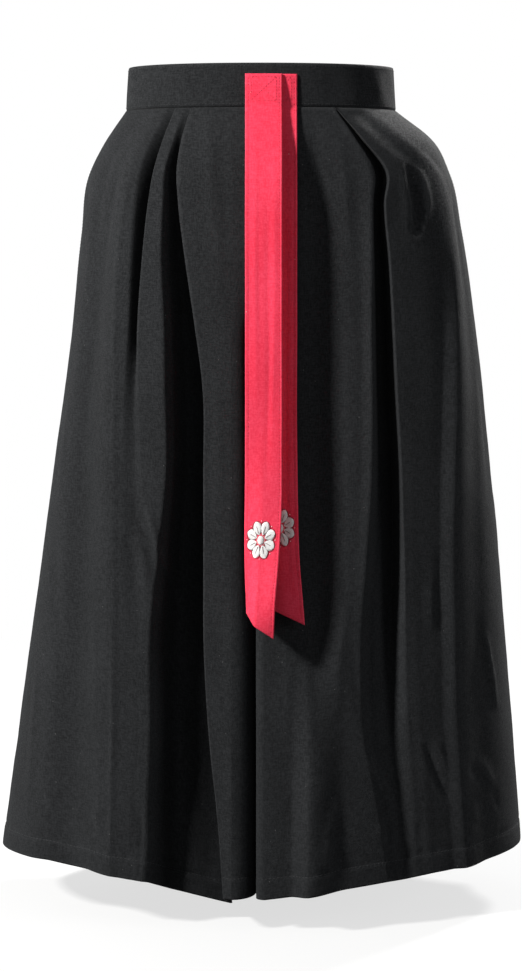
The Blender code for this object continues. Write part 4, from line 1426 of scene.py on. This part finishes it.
@dataclass
class Waistband:
    """One half of the waistband: the front is plain, and the back is gathered on wide elastic."""

    form: Form
    face: Face
    flat: tuple[float, float]
    taper: float = 0.003
    pucker: float = 0.0015
    gathers: int = 18
    columns: int = 216
    rows: int = 18
    wall: float = 0.0028
    edge_inset: float = 0.0035
    thread_radius: float = 0.00028
    sewn_samples: int = 1500

    @property
    def name(self) -> str:
        """Return the name of the node that this piece stands for."""
        return f"waistband_{self.face.name.lower()}"

    def build(self) -> tuple[Sheet, np.ndarray]:
        """Work out the band's surface, its wear and its painted highlight.

        Returns:
            The sheet and its mask of wear and painted highlight.
        """
        wide = self.form.half_width(Side.LEFT, -BAND_HEIGHT / 2)
        deep = self.form.depth(self.face, -BAND_HEIGHT / 2)
        power = self.form.rounding(-BAND_HEIGHT / 2)
        seam = (SEAM_FLAT / deep) ** (power / 2)
        inner = np.linspace(seam - math.pi / 2, math.pi / 2 - seam, self.columns + 1)
        angles = np.concatenate([[-math.pi / 2], inner, [math.pi / 2]])
        sine, cosine = np.sin(angles), np.clip(np.cos(angles), 0, 1)
        share = (angles + math.pi / 2) / math.pi
        fade = ease(share * 18) * ease((1 - share) * 18)
        points = np.empty((self.rows + 1, len(angles), 3))
        for i in range(self.rows + 1):
            up = 1 - i / self.rows
            swell = self.surface_relief(share, up) * fade
            rolled = -0.0006 * math.exp(-((min(up, 1 - up) * BAND_HEIGHT / 0.002) ** 2))
            stand = swell + rolled - self.taper * up
            points[i, :, 0] = np.copysign(np.abs(sine) ** (2 / power), sine) * (wide + stand)
            points[i, :, 1] = self.face.value * (HALF_GAP + (deep + stand - HALF_GAP) * cosine ** (2 / power))
            points[i, :, 2] = BAND_HEIGHT * (up - 0.5)
        along = distances(points[self.rows // 2])
        stretch = 1.5 if self.face == Face.BACK else 1.0
        across = np.repeat((along * stretch)[None], self.rows + 1, axis=0)
        flat = np.stack([across, points[:, :, 2]], axis=-1) + np.array([3.0 + self.face.value, 0.0])
        sheet = Sheet(points, flat, self.face.value)
        row = np.arange(self.rows + 1)
        edge = np.minimum(row, self.rows - row) / self.rows * BAND_HEIGHT
        # The gathers' crests get a painted highlight, and the band's edges are rubbed
        wear_and_highlight = np.maximum(sheet.sharpness() * 0.7, np.exp(-((edge / 0.002) ** 2))[:, None] * 0.8)
        return sheet, wear_and_highlight

    def surface_relief(self, share: np.ndarray, up: float) -> np.ndarray:
        """Return how far the cloth stands out of the plain band at one height of it."""
        if self.face == Face.FRONT:
            soft = 0.0006 * np.sin(share * 23 + 1.3) * math.sin(up * math.pi)
            return soft + 0.0004 * np.sin(share * 61 + up * 3) * math.sin(up * math.pi)
        phase = share * 2 * math.pi * self.gathers
        main = np.sin(phase + 0.8 * np.sin(share * 19) + 0.5 * math.sin(up * 7))
        small = np.sin(phase * 2.3 + up * 5 + 1.1 * np.sin(share * 41))
        rows = min(abs(up * 4 - k) for k in (0.5, 1.5, 2.5, 3.5))
        held = 0.45 + 0.55 * float(ease(rows / 0.35))
        return self.pucker * held * (0.72 * main + 0.42 * small)

    def make(self) -> list[Piece]:
        """Make the band and its stitching.

        Returns:
            The band first, then its stitching.
        """
        sheet, wear_and_highlight = self.build()
        band = Workshop.cloth(f"{self.name}_cloth", sheet, self.wall, False, wear_and_highlight)
        Workshop.dress(band, BLACK_CLOTH.material())
        thread = Thread(self.thread_radius)
        columns = np.linspace(1.2, sheet.points.shape[1] - 2.2, self.sewn_samples)
        if self.face == Face.FRONT:
            heights = (self.edge_inset, BAND_HEIGHT - self.edge_inset)
        else:
            heights = tuple(BAND_HEIGHT * k / 8 for k in (1, 3, 5, 7))
        for height in heights:
            row = self.rows * height / BAND_HEIGHT
            StitchLine(sheet, BAND_STITCH).sew(thread, np.full(self.sewn_samples, row), columns)
        sewn = thread.make(f"{self.name}_stitching", BLACK_THREAD)
        LOG.info("%s: %d faces", band.name, len(band.data.polygons))
        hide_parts(self.name)
        return [band, sewn]


@dataclass
class PocketBag:
    """A flat two-layer bag that hangs inside the front panel from the mouth in the side seam."""

    form: Form
    side: Side
    flat: tuple[float, float]
    area: float
    wall: float = 0.0022
    start: float = 0.004
    reach: float = 0.115
    top: float = -0.090
    side_end: float = -0.26132
    bottom: float = -0.345
    belly: float = 0.75
    belly_from: float = -0.265
    gap: float = 0.0024
    inset: float = 0.033
    inset_run: float = 0.055
    columns: int = 26
    rows: int = 44
    thread_radius: float = 0.00026
    sewn_samples: int = 200

    @property
    def name(self) -> str:
        """Return the name of the node that this piece stands for."""
        return f"pocket_bag_{self.side.name.lower()}"

    def make(self) -> list[Piece]:
        """Make the bag and the overlocked edge round it.

        Returns:
            The bag first, then its stitching.
        """
        points = np.empty((self.rows + 1, self.columns + 1, 3))
        for i in range(self.rows + 1):
            side_level = self.top + (self.side_end - self.top) * i / self.rows
            for j in range(self.columns + 1):
                points[i, j] = self.point(side_level, j / self.columns, i / self.rows)
        across = np.linspace(0, self.reach, self.columns + 1)
        flat = np.stack(np.meshgrid(across, points[:, 0, 2]), axis=-1)
        sheet = Sheet(points, flat + np.array([6.0 + self.side.value, 0]), self.side.value)
        wear_and_highlight = np.zeros(points.shape[:2])
        bag = Workshop.cloth(f"{self.name}_cloth", sheet, self.wall, False, wear_and_highlight)
        Workshop.dress(bag, LINING_CLOTH.material())
        thread = Thread(self.thread_radius)
        down = np.linspace(1, self.rows - 1, self.sewn_samples)
        sideways = np.linspace(1, self.columns - 1, self.sewn_samples)
        still = np.ones(self.sewn_samples)
        edges = (
            (down, still * (self.columns - 1)),
            (still * (self.rows - 1), sideways),
            (still, sideways),
        )
        for rows, columns in edges:
            StitchLine(sheet, BAG_STITCH).sew(thread, rows, columns)
        sewn = thread.make(f"{self.name}_stitching", BLACK_THREAD)
        LOG.info("%s: %d faces", bag.name, len(bag.data.polygons))
        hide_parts(self.name)
        f"front_{self.side.name.lower()}"
        return [bag, sewn]

    def point(self, side_level: float, share: float, down: float) -> Triple:
        """Return a point of the bag's outer side."""
        belly = math.sin(math.pi * self.belly * share)
        stretch = 1 + belly * (self.bottom - self.belly_from) / (self.belly_from - self.top)
        level = self.top + (side_level - self.top) * stretch
        line = self.form.outline(self.side, Face.FRONT, level)
        at = line.along[-1] - self.start - self.reach * share
        here, near = line.at(at), line.at(at - 0.001)
        tangent = (here - near) / np.linalg.norm(here - near)
        out = np.array([-tangent[1], tangent[0]])
        inset = self.gap + self.inset * float(ease(self.reach * share / self.inset_run))
        inset += 0.0012 * math.sin(share * 9 + down * 5) * share * (1 - down * 0.4)
        here = here - out * inset
        sideways = (at - line.turn_end) / (line.along[-1] - line.turn_end)
        height = float(self.form.drop(self.side, level, np.array(sideways)))
        return self.side.value * here[0], -here[1], height


@dataclass
class Rosette:
    """A generic embroidered flower: satin-stitched petals, a disc, knots and a dark outline.

    The centre is its place across the tie, in millimetres, and its level in metres. The flower's own sizes
    are in millimetres, and its lifts and thread radii in metres.
    """

    tie: "Tie"
    sheet: Sheet
    centre: tuple[float, float]
    petals: int = 8
    inner: float = 5.6
    outer: float = 19.4
    petal_half: float = 5.7
    disc: float = 4.4
    knot_ring: float = 5.4
    knots: int = 16
    knot_size: float = 0.75
    tip_ring: float = 19.0
    tip_knot_size: float = 1.1
    spacing: float = 0.50
    slant: float = 0.10
    margin: float = 0.45
    vein_start: float = 1.5
    vein_share: float = 0.55
    thread: float = 0.00034
    outline_thread: float = 0.00040
    dome: float = 0.00060
    outline_lift: float = 0.00022
    vein_lift: float = 0.00052
    squeeze: float = 0.86
    stretch: float = 1.13

    def petal_width(self, t: np.ndarray) -> np.ndarray:
        """Return a petal's half width in millimetres at a share of its length."""
        return self.petal_half * np.sin(math.pi * np.clip(t, 0, 1) ** 1.35) ** 0.55

    def make(self, name: str) -> list[Piece]:
        """Embroider the flower on its tie.

        Args:
            name: the start of the pieces' names.

        Returns:
            The white embroidery and its dark outline.
        """
        white, dark = Thread(self.thread), Thread(self.outline_thread)
        for k in range(self.petals):
            angle = 2 * math.pi * (k + 0.5) / self.petals
            self.fill_petal(white, angle)
            self.outline_petal(dark, angle)
        self.fill_disc(white)
        self.tie_knots(white)
        flower = white.make(f"{name}_embroidery", WHITE_THREAD)
        return [flower, dark.make(f"{name}_embroidery_outline", OUTLINE_THREAD)]

    def on_tie(self, flat: np.ndarray, lift: np.ndarray) -> tuple[np.ndarray, np.ndarray]:
        """Lay flat points, in millimetres, on the tie's outer surface with a lift above it."""
        shape = flat.shape[:-1]
        across = (self.centre[0] + flat[..., 0].ravel() * self.squeeze) * MM
        level = self.centre[1] + flat[..., 1].ravel() * self.stretch * MM
        columns = (across / self.tie.width + 0.5) * self.tie.columns
        rows = self.tie.row_at(level, across / self.tie.width)
        points = self.sheet.sample(self.sheet.points, rows, columns)
        ups = self.sheet.sample(self.sheet.normals(), rows, columns)
        points = points + ups * lift.reshape(-1, 1)
        return points.reshape(*shape, 3), ups.reshape(*shape, 3)

    @staticmethod
    def turned(out: np.ndarray, aside: np.ndarray, angle: float) -> np.ndarray:
        """Return flat points, given as distances along and beside a petal that points at an angle."""
        sine, cosine = math.sin(angle), math.cos(angle)
        return np.stack([out * sine + aside * cosine, out * cosine - aside * sine], axis=-1)

    def fill_petal(self, thread: Thread, angle: float) -> None:
        """Fill a petal with threads across it, over a slight dome."""
        length = self.outer - self.inner
        count = round(length / self.spacing)
        t = (np.arange(count) + 0.5) / count
        half = self.petal_width(t)[:, None]
        s = np.linspace(-1, 1, 7)[None, :]
        aside = half * s
        out = (self.inner + t * length)[:, None] - self.slant * aside**2 / np.maximum(half, 0.1)
        lift = self.dome * (1 - s**2) ** 0.7 * (half / self.petal_half) + 0.00012
        thread.add(*self.on_tie(self.turned(out, aside, angle), lift))

    def outline_petal(self, thread: Thread, angle: float) -> None:
        """Stitch a thin dark line round a petal and down its middle."""
        t = np.linspace(0.02, 1.0, 24)
        length = self.outer - self.inner
        out, half = self.inner + t * (length + self.margin), self.petal_width(t) + self.margin
        vein = self.inner + self.vein_start + np.linspace(0, 1, 6) * (length * self.vein_share)
        lines = (
            (np.column_stack([out, -half]), self.outline_lift),
            (np.column_stack([out, half]), self.outline_lift),
            (np.column_stack([vein, np.zeros(6)]), self.dome + self.vein_lift),
        )
        s = np.linspace(0.05, 0.95, 3)[None, :, None]
        for line, lift in lines:
            path = line[:-1, None, :] * (1 - s) + line[1:, None, :] * s
            flat = self.turned(path[..., 0], path[..., 1], angle)
            thread.add(*self.on_tie(flat, np.full(path.shape[:2], lift)))

    def fill_disc(self, thread: Thread) -> None:
        """Fill the middle with close parallel threads over a dome."""
        rows = np.arange(-self.disc + 0.3, self.disc, self.spacing)
        half = np.sqrt(np.maximum(self.disc**2 - rows**2, 0.05))
        s = np.linspace(-1, 1, 7)
        flat = np.stack([half[:, None] * s[None, :], np.repeat(rows[:, None], len(s), axis=1)], axis=-1)
        lift = 0.0003 + 0.0011 * np.clip(1 - (flat**2).sum(axis=-1) / self.disc**2, 0, 1) ** 0.6
        thread.add(*self.on_tie(flat, lift))

    def tie_knots(self, thread: Thread) -> None:
        """Set a ring of small knots round the disc, and one between each two petal tips."""
        rings = (
            (self.knots, self.knot_ring, self.knot_size),
            (self.petals, self.tip_ring, self.tip_knot_size),
        )
        for count, radius, size in rings:
            angles = 2 * math.pi * np.arange(count) / count
            s = np.linspace(-1, 1, 3) * size / 2
            for tilt in (0.0, math.pi / 3, 2 * math.pi / 3):
                flat = np.empty((count, 3, 2))
                flat[..., 0] = radius * np.sin(angles)[:, None] + s[None, :] * math.cos(tilt)
                flat[..., 1] = radius * np.cos(angles)[:, None] + s[None, :] * math.sin(tilt)
                lift = np.repeat(np.array([[0.0003, 0.00065, 0.0003]]), count, axis=0)
                thread.add(*self.on_tie(flat, lift))


@dataclass
class Tie:
    """A long flat tie of doubled cloth that hangs from the front of the waistband."""

    form: Form
    name: str
    middle: Row
    clear: Row
    fold_right: Row
    fold_left: Row
    end_right: float
    end_left: float
    rosette: tuple[float, float]
    flat: tuple[float, float]
    seed: float
    creases: tuple[Crease, ...] = ()
    levels: Row = (0.012, -0.030, -0.100, -0.250, -0.400, -0.475, -0.540, -0.590, -0.627)
    width: float = 0.042
    wall: float = 0.0018
    top: float = 0.012
    columns: int = 28
    rows: int = 300
    flattens: float = 0.09
    band_taper: float = 0.003
    crown: float = 0.10
    fold_reach: float = 1.12
    seam_inset: float = 0.0034
    end_row: float = 0.9945
    box_sides: tuple[float, float] = (0.16, 0.84)
    box_levels: tuple[float, float] = (0.0085, -0.0185)
    thread_radius: float = 0.00024
    sewn_samples: int = 1500

    def end_level(self, share: np.ndarray | float) -> np.ndarray:
        """Return the level where the tie ends at a share of its width."""
        return self.end_right + (self.end_left - self.end_right) * (share + 0.5)

    def row_at(self, level: np.ndarray, share: np.ndarray) -> np.ndarray:
        """Return the row number of a level at a share of the tie's width."""
        return (level - self.top) / (self.end_level(share) - self.top) * self.rows

    def point(self, share: float, down: float) -> Triple:
        """Return a point of the tie's back."""
        level = self.top + (float(self.end_level(share)) - self.top) * down
        halves = self.fold_left if share > 0 else self.fold_right
        fold = math.radians(value_at(level, self.levels, halves))
        bend = math.sqrt(share * share + self.crown * self.crown) - self.crown
        x = value_at(level, self.levels, self.middle) * MM + share * self.width * math.cos(fold)
        body = min(level, -BAND_HEIGHT / 2)
        taper = self.band_taper * (level - body) / BAND_HEIGHT
        wide = self.form.half_width(Side.LEFT, body) - taper
        deep = self.form.depth(Face.FRONT, body) - taper
        hangs_flat = float(ease((-BAND_HEIGHT / 2 - level) / self.flattens))
        rounded = float(self.form.arch(x, wide, deep, self.form.rounding(body)))
        rests = (1 - hangs_flat) * rounded + hangs_flat * deep
        clear = value_at(level, self.levels, self.clear) * MM
        back = bend * self.width * math.sin(fold) * self.fold_reach
        ripple = 0.0004 * math.sin(level * 41 + self.seed) * math.sin(share * 5 + self.seed) * hangs_flat
        ripple += 0.0005 * math.sin(level * 17 + 2 * self.seed) * share * hangs_flat
        return x, -(rests + clear - back + ripple), level

    def make(self) -> list[Piece]:
        """Make the tie, its edge stitching and its flower.

        Returns:
            The tie first, then what is sewn on it.
        """
        points = np.array(
            [
                [self.point(j / self.columns - 0.5, i / self.rows) for j in range(self.columns + 1)]
                for i in range(self.rows + 1)
            ]
        )
        share = np.linspace(-0.5, 0.5, self.columns + 1)
        down = points[:, :, 2]
        across = np.repeat(share[None] * self.width, self.rows + 1, axis=0)
        relief = np.zeros(across.shape)
        for crease in self.creases:
            path = np.array(crease.path, float) * MM
            relief += Panel.one_crease(crease, path, across, down)
        hem = (0.5 - np.abs(share)) * self.width
        from_seam = hem - self.seam_inset
        seam = -0.00030 * np.exp(-((from_seam / 0.0011) ** 2)) + 0.00012 * ease((0.003 - hem) / 0.001)
        pucker = 0.00012 * np.sin(down * 2 * math.pi / 0.0085 + 4 * np.sign(share))
        pucker = pucker * np.exp(-((from_seam / 0.004) ** 2))
        points[:, :, 1] -= relief + (seam[None, :] + pucker) * ease((self.top - down) / 0.01)
        flat = np.stack([across, down], axis=-1) + np.array([9.0 + self.seed, 0.0])
        sheet = Sheet(points, flat, -1)
        # Rubbed edges of the tie, and a painted highlight on its crests
        wear_and_highlight = np.exp(-((hem / 0.0015) ** 2))[None, :] * np.ones((self.rows + 1, 1)) * 0.7
        wear_and_highlight = np.maximum(wear_and_highlight, sheet.sharpness() * 0.5)
        tie = Workshop.cloth(f"{self.name}_cloth", sheet, self.wall, True, wear_and_highlight)
        Workshop.dress(tie, RED_CLOTH.material())
        outer = Sheet(points + sheet.normals() * self.wall, flat, -1)

        thread = Thread(self.thread_radius)
        down_all = np.linspace(0.004 * self.rows, 0.994 * self.rows, self.sewn_samples)
        inset = self.seam_inset / self.width
        for place in (-0.5 + inset, 0.5 - inset):
            columns = np.full(self.sewn_samples, (place + 0.5) * self.columns)
            StitchLine(outer, TIE_STITCH).sew(thread, down_all, columns)
        across_all = np.linspace(0.09, 0.91, 120) * self.columns
        StitchLine(outer, TIE_STITCH).sew(thread, np.full(120, self.rows * self.end_row), across_all)
        self.box_stitch(outer, thread)
        sewn = thread.make(f"{self.name}_stitching", RED_THREAD)
        flower = Rosette(self, outer, self.rosette).make(self.name)
        faces = [len(piece.data.polygons) for piece in (tie, flower[0])]
        LOG.info("%s: %d faces, %d flower faces", tie.name, *faces)
        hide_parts(self.name)
        return [tie, sewn, *flower]

    def box_stitch(self, outer: Sheet, thread: Thread) -> None:
        """Sew the tie's top end to the band with a crossed box."""
        left, right = (share * self.columns for share in self.box_sides)
        top, bottom = self.row_at(np.array(self.box_levels), np.zeros(2))
        corners = ((top, left), (top, right), (bottom, right), (bottom, left))
        for first, last in ((0, 1), (1, 2), (2, 3), (3, 0), (0, 2), (1, 3)):
            rows, columns = np.linspace(corners[first], corners[last], 60).T
            StitchLine(outer, BOX_STITCH).sew(thread, rows, columns)


@dataclass(frozen=True)
class Lamp:
    """One soft square light: its place and its size in metres, its power in watts and its colour."""

    name: str
    place: Triple
    size: float
    power: float
    colour: Triple


LAMPS = (
    Lamp("key", (-3.24, -2.06, 1.90), 0.5, 315, (1.0, 0.99, 0.97)),
    Lamp("side_fill", (3.55, -1.42, 0.62), 1.2, 24, (0.97, 0.98, 1.0)),
    Lamp("back_key", (2.3, 2.9, 2.2), 0.9, 260, (1.0, 0.99, 0.98)),
    Lamp("back_fill", (-2.6, 2.6, 0.6), 2.0, 24, (0.97, 0.98, 1.0)),
)


@dataclass
class Studio:
    """Floor, soft light and the camera at the photograph's viewing angle."""

    distance: float = 3.0
    eye_level: float = -0.165
    focal_pixels: float = 2500.0
    frame_height: int = 971
    horizon: float = 230.0
    sensor: float = 24.0
    floor_level: float = -0.970
    floor_size: float = 40.0
    aim: Triple = (0, 0, -0.42)
    surrounding: Shade = (0.96, 0.98, 1.0, 1.0)
    surrounding_strength: float = 0.16
    pale: Shade = (1.0, 1.0, 1.0, 1.0)
    dim: Shade = (0.10, 0.10, 0.10, 1.0)

    def camera(self) -> None:
        """Place the camera."""
        data = bpy.data.cameras.new("camera")
        camera = bpy.data.objects.new("camera", data)
        bpy.context.scene.collection.objects.link(camera)
        data.sensor_fit = "VERTICAL"
        data.sensor_height = self.sensor
        data.lens = self.focal_pixels * self.sensor / self.frame_height
        pitch = math.atan((self.frame_height / 2 - self.horizon) / self.focal_pixels)
        camera.location = (0, -self.distance, self.eye_level)
        camera.rotation_euler = (math.pi / 2 - pitch, 0, 0)
        bpy.context.scene.camera = camera

    def light(self, lamp: Lamp) -> None:
        """Place one lamp that points at the trousers' middle."""
        data = bpy.data.lights.new(lamp.name, "AREA")
        data.size = lamp.size
        data.energy = lamp.power
        data.color = lamp.colour
        made = bpy.data.objects.new(lamp.name, data)
        made.location = lamp.place
        made.rotation_euler = (Vector(self.aim) - Vector(lamp.place)).to_track_quat("-Z", "Y").to_euler()
        bpy.context.scene.collection.objects.link(made)

    def floor(self) -> None:
        """Lay the pale floor."""
        half = self.floor_size / 2
        corners = [(x * half, y * half, self.floor_level) for x, y in ((-1, -1), (1, -1), (1, 1), (-1, 1))]
        floor = Workshop.mesh_object("floor", np.array(corners), [[0, 1, 2, 3]])
        finish = bpy.data.materials.new("pale_floor")
        finish.use_nodes = True
        tree = finish.node_tree
        shader = tree.nodes["Principled BSDF"]
        place = tree.nodes.new("ShaderNodeTexCoord")
        grain = Shades.noise_field(tree, place.outputs["Object"], (3.0, 3.0, 3.0), 4.0)
        tone = Shades.mix(tree, grain, (0.86, 0.86, 0.86), (0.90, 0.90, 0.90))
        Shades.fill(tree, shader, {"Base Color": tone, "Roughness": 0.9, "Specular IOR Level": 0.1})
        self.fade_out(tree, shader, place.outputs["Object"])
        Workshop.dress(floor, finish)

    @staticmethod
    def split(tree: Tree, lights: Node, seen: Node, end: Socket) -> None:
        """Use one shader where the camera looks, and another one for the light that reaches the cloth."""
        path = tree.nodes.new("ShaderNodeLightPath")
        mix = tree.nodes.new("ShaderNodeMixShader")
        tree.links.new(path.outputs["Is Camera Ray"], mix.inputs[0])
        tree.links.new(lights.outputs[0], mix.inputs[1])
        tree.links.new(seen.outputs[0], mix.inputs[2])
        tree.links.new(mix.outputs[0], end)

    def fade_out(self, tree: Tree, shader: Node, vector: Socket) -> None:
        """Let the floor glow pale where it is seen, more with its distance, but light the cloth little."""
        length = tree.nodes.new("ShaderNodeVectorMath")
        length.operation = "LENGTH"
        tree.links.new(vector, length.inputs[0])
        far = Shades.remap(tree, length.outputs["Value"], 0.45, 2.2, 0.62, 1.0)
        glow = Shades.node(tree, "Emission", {"Color": self.pale})
        seen = tree.nodes.new("ShaderNodeMixShader")
        tree.links.new(far, seen.inputs[0])
        tree.links.new(shader.outputs[0], seen.inputs[1])
        tree.links.new(glow.outputs[0], seen.inputs[2])
        dim = Shades.node(tree, "BsdfDiffuse", {"Color": self.dim})
        self.split(tree, dim, seen, tree.nodes["Material Output"].inputs["Surface"])

    def world(self) -> None:
        """Set a pale surrounding that lights softly."""
        world = bpy.data.worlds.new("studio")
        bpy.context.scene.world = world
        world.use_nodes = True
        tree = world.node_tree
        shade = tree.nodes["Background"]
        strength = self.surrounding_strength
        Shades.fill(tree, shade, {"Color": self.surrounding, "Strength": strength})
        seen = Shades.node(tree, "Background", {"Color": self.pale, "Strength": 1.0})
        self.split(tree, shade, seen, tree.nodes["World Output"].inputs["Surface"])

    def make(self) -> None:
        """Set up the whole studio."""
        self.camera()
        self.floor()
        self.world()
        for lamp in LAMPS:
            self.light(lamp)
        bpy.context.scene.view_settings.view_transform = "Standard"


def write_sizes() -> None:
    """Update the view layer."""
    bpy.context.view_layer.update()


def main() -> None:
    """Build every sub-assembly in order and report each piece."""
    logging.basicConfig(level=logging.INFO, format="%(name)s %(message)s")
    form = Form()
    Studio().make()
    pieces: list[tuple[Piece, str]] = []
    for side in Side:
        for face in Face:
            panel = Panel(form, side, face, (0.66, 1.02), 0.58)
            pieces += [(piece, "black_cloth") for piece in panel.make()]
        pieces += [(piece, "pocket_lining") for piece in PocketBag(form, side, (0.135, 0.270), 0.030).make()]
    for face, flat in ((Face.FRONT, (0.46, 0.07)), (Face.BACK, (0.60, 0.056))):
        pieces += [(piece, "black_cloth") for piece in Waistband(form, face, flat).make()]
    under = Tie(
        form,
        "tie_under",
        middle=(20, 20, 20, 20, 20, 21, 23, 27, 30),
        clear=(0.3, 1.0, 3.0, 4.5, 5.0, 5.0, 5.5, 6.0, 6.0),
        fold_right=(0, 0, 0, 0, 2, 4, 6, 8, 8),
        fold_left=(0, 0, 0, 0, 2, 3, 4, 4, 4),
        end_right=-0.592,
        end_left=-0.613,
        rosette=(0.0, -0.502),
        flat=(0.044, 0.635),
        seed=0.7,
        creases=(
            Crease(0.5, 3.0, ((14, -60), (13, -300), (12, -590))),
            Crease(-0.4, 3.0, ((9, -200), (8, -560))),
        ),
    )
    over = Tie(
        form,
        "tie_over",
        middle=(3, 3, 3, 3, 3, 2.5, -1, -5, -7),
        clear=(2.4, 9.0, 19.0, 24.0, 26.0, 28.0, 30.0, 31.0, 31.0),
        fold_right=(0, 0, 0, 0, 3, 14, 38, 60, 68),
        fold_left=(0, 0, 0, 0, 1, 0, -6, -8, 10),
        end_right=-0.598,
        end_left=-0.625,
        rosette=(-1.0, -0.513),
        flat=(0.044, 0.645),
        seed=2.1,
        creases=(
            Crease(0.5, 3.5, ((-9, -40), (-10, -200), (-8, -380))),
            Crease(-0.5, 4.0, ((4, -120), (6, -300), (3, -470))),
            Crease(0.4, 3.0, ((12, -60), (12, -260), (9, -420))),
        ),
    )
    for tie in (under, over):
        pieces += [(piece, "red_cloth") for piece in tie.make()]
    for piece, slot in pieces:
        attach(piece, "root")
        LOG.info("built %s", piece.name)
    write_sizes()


if __name__ == "__main__":
    main()
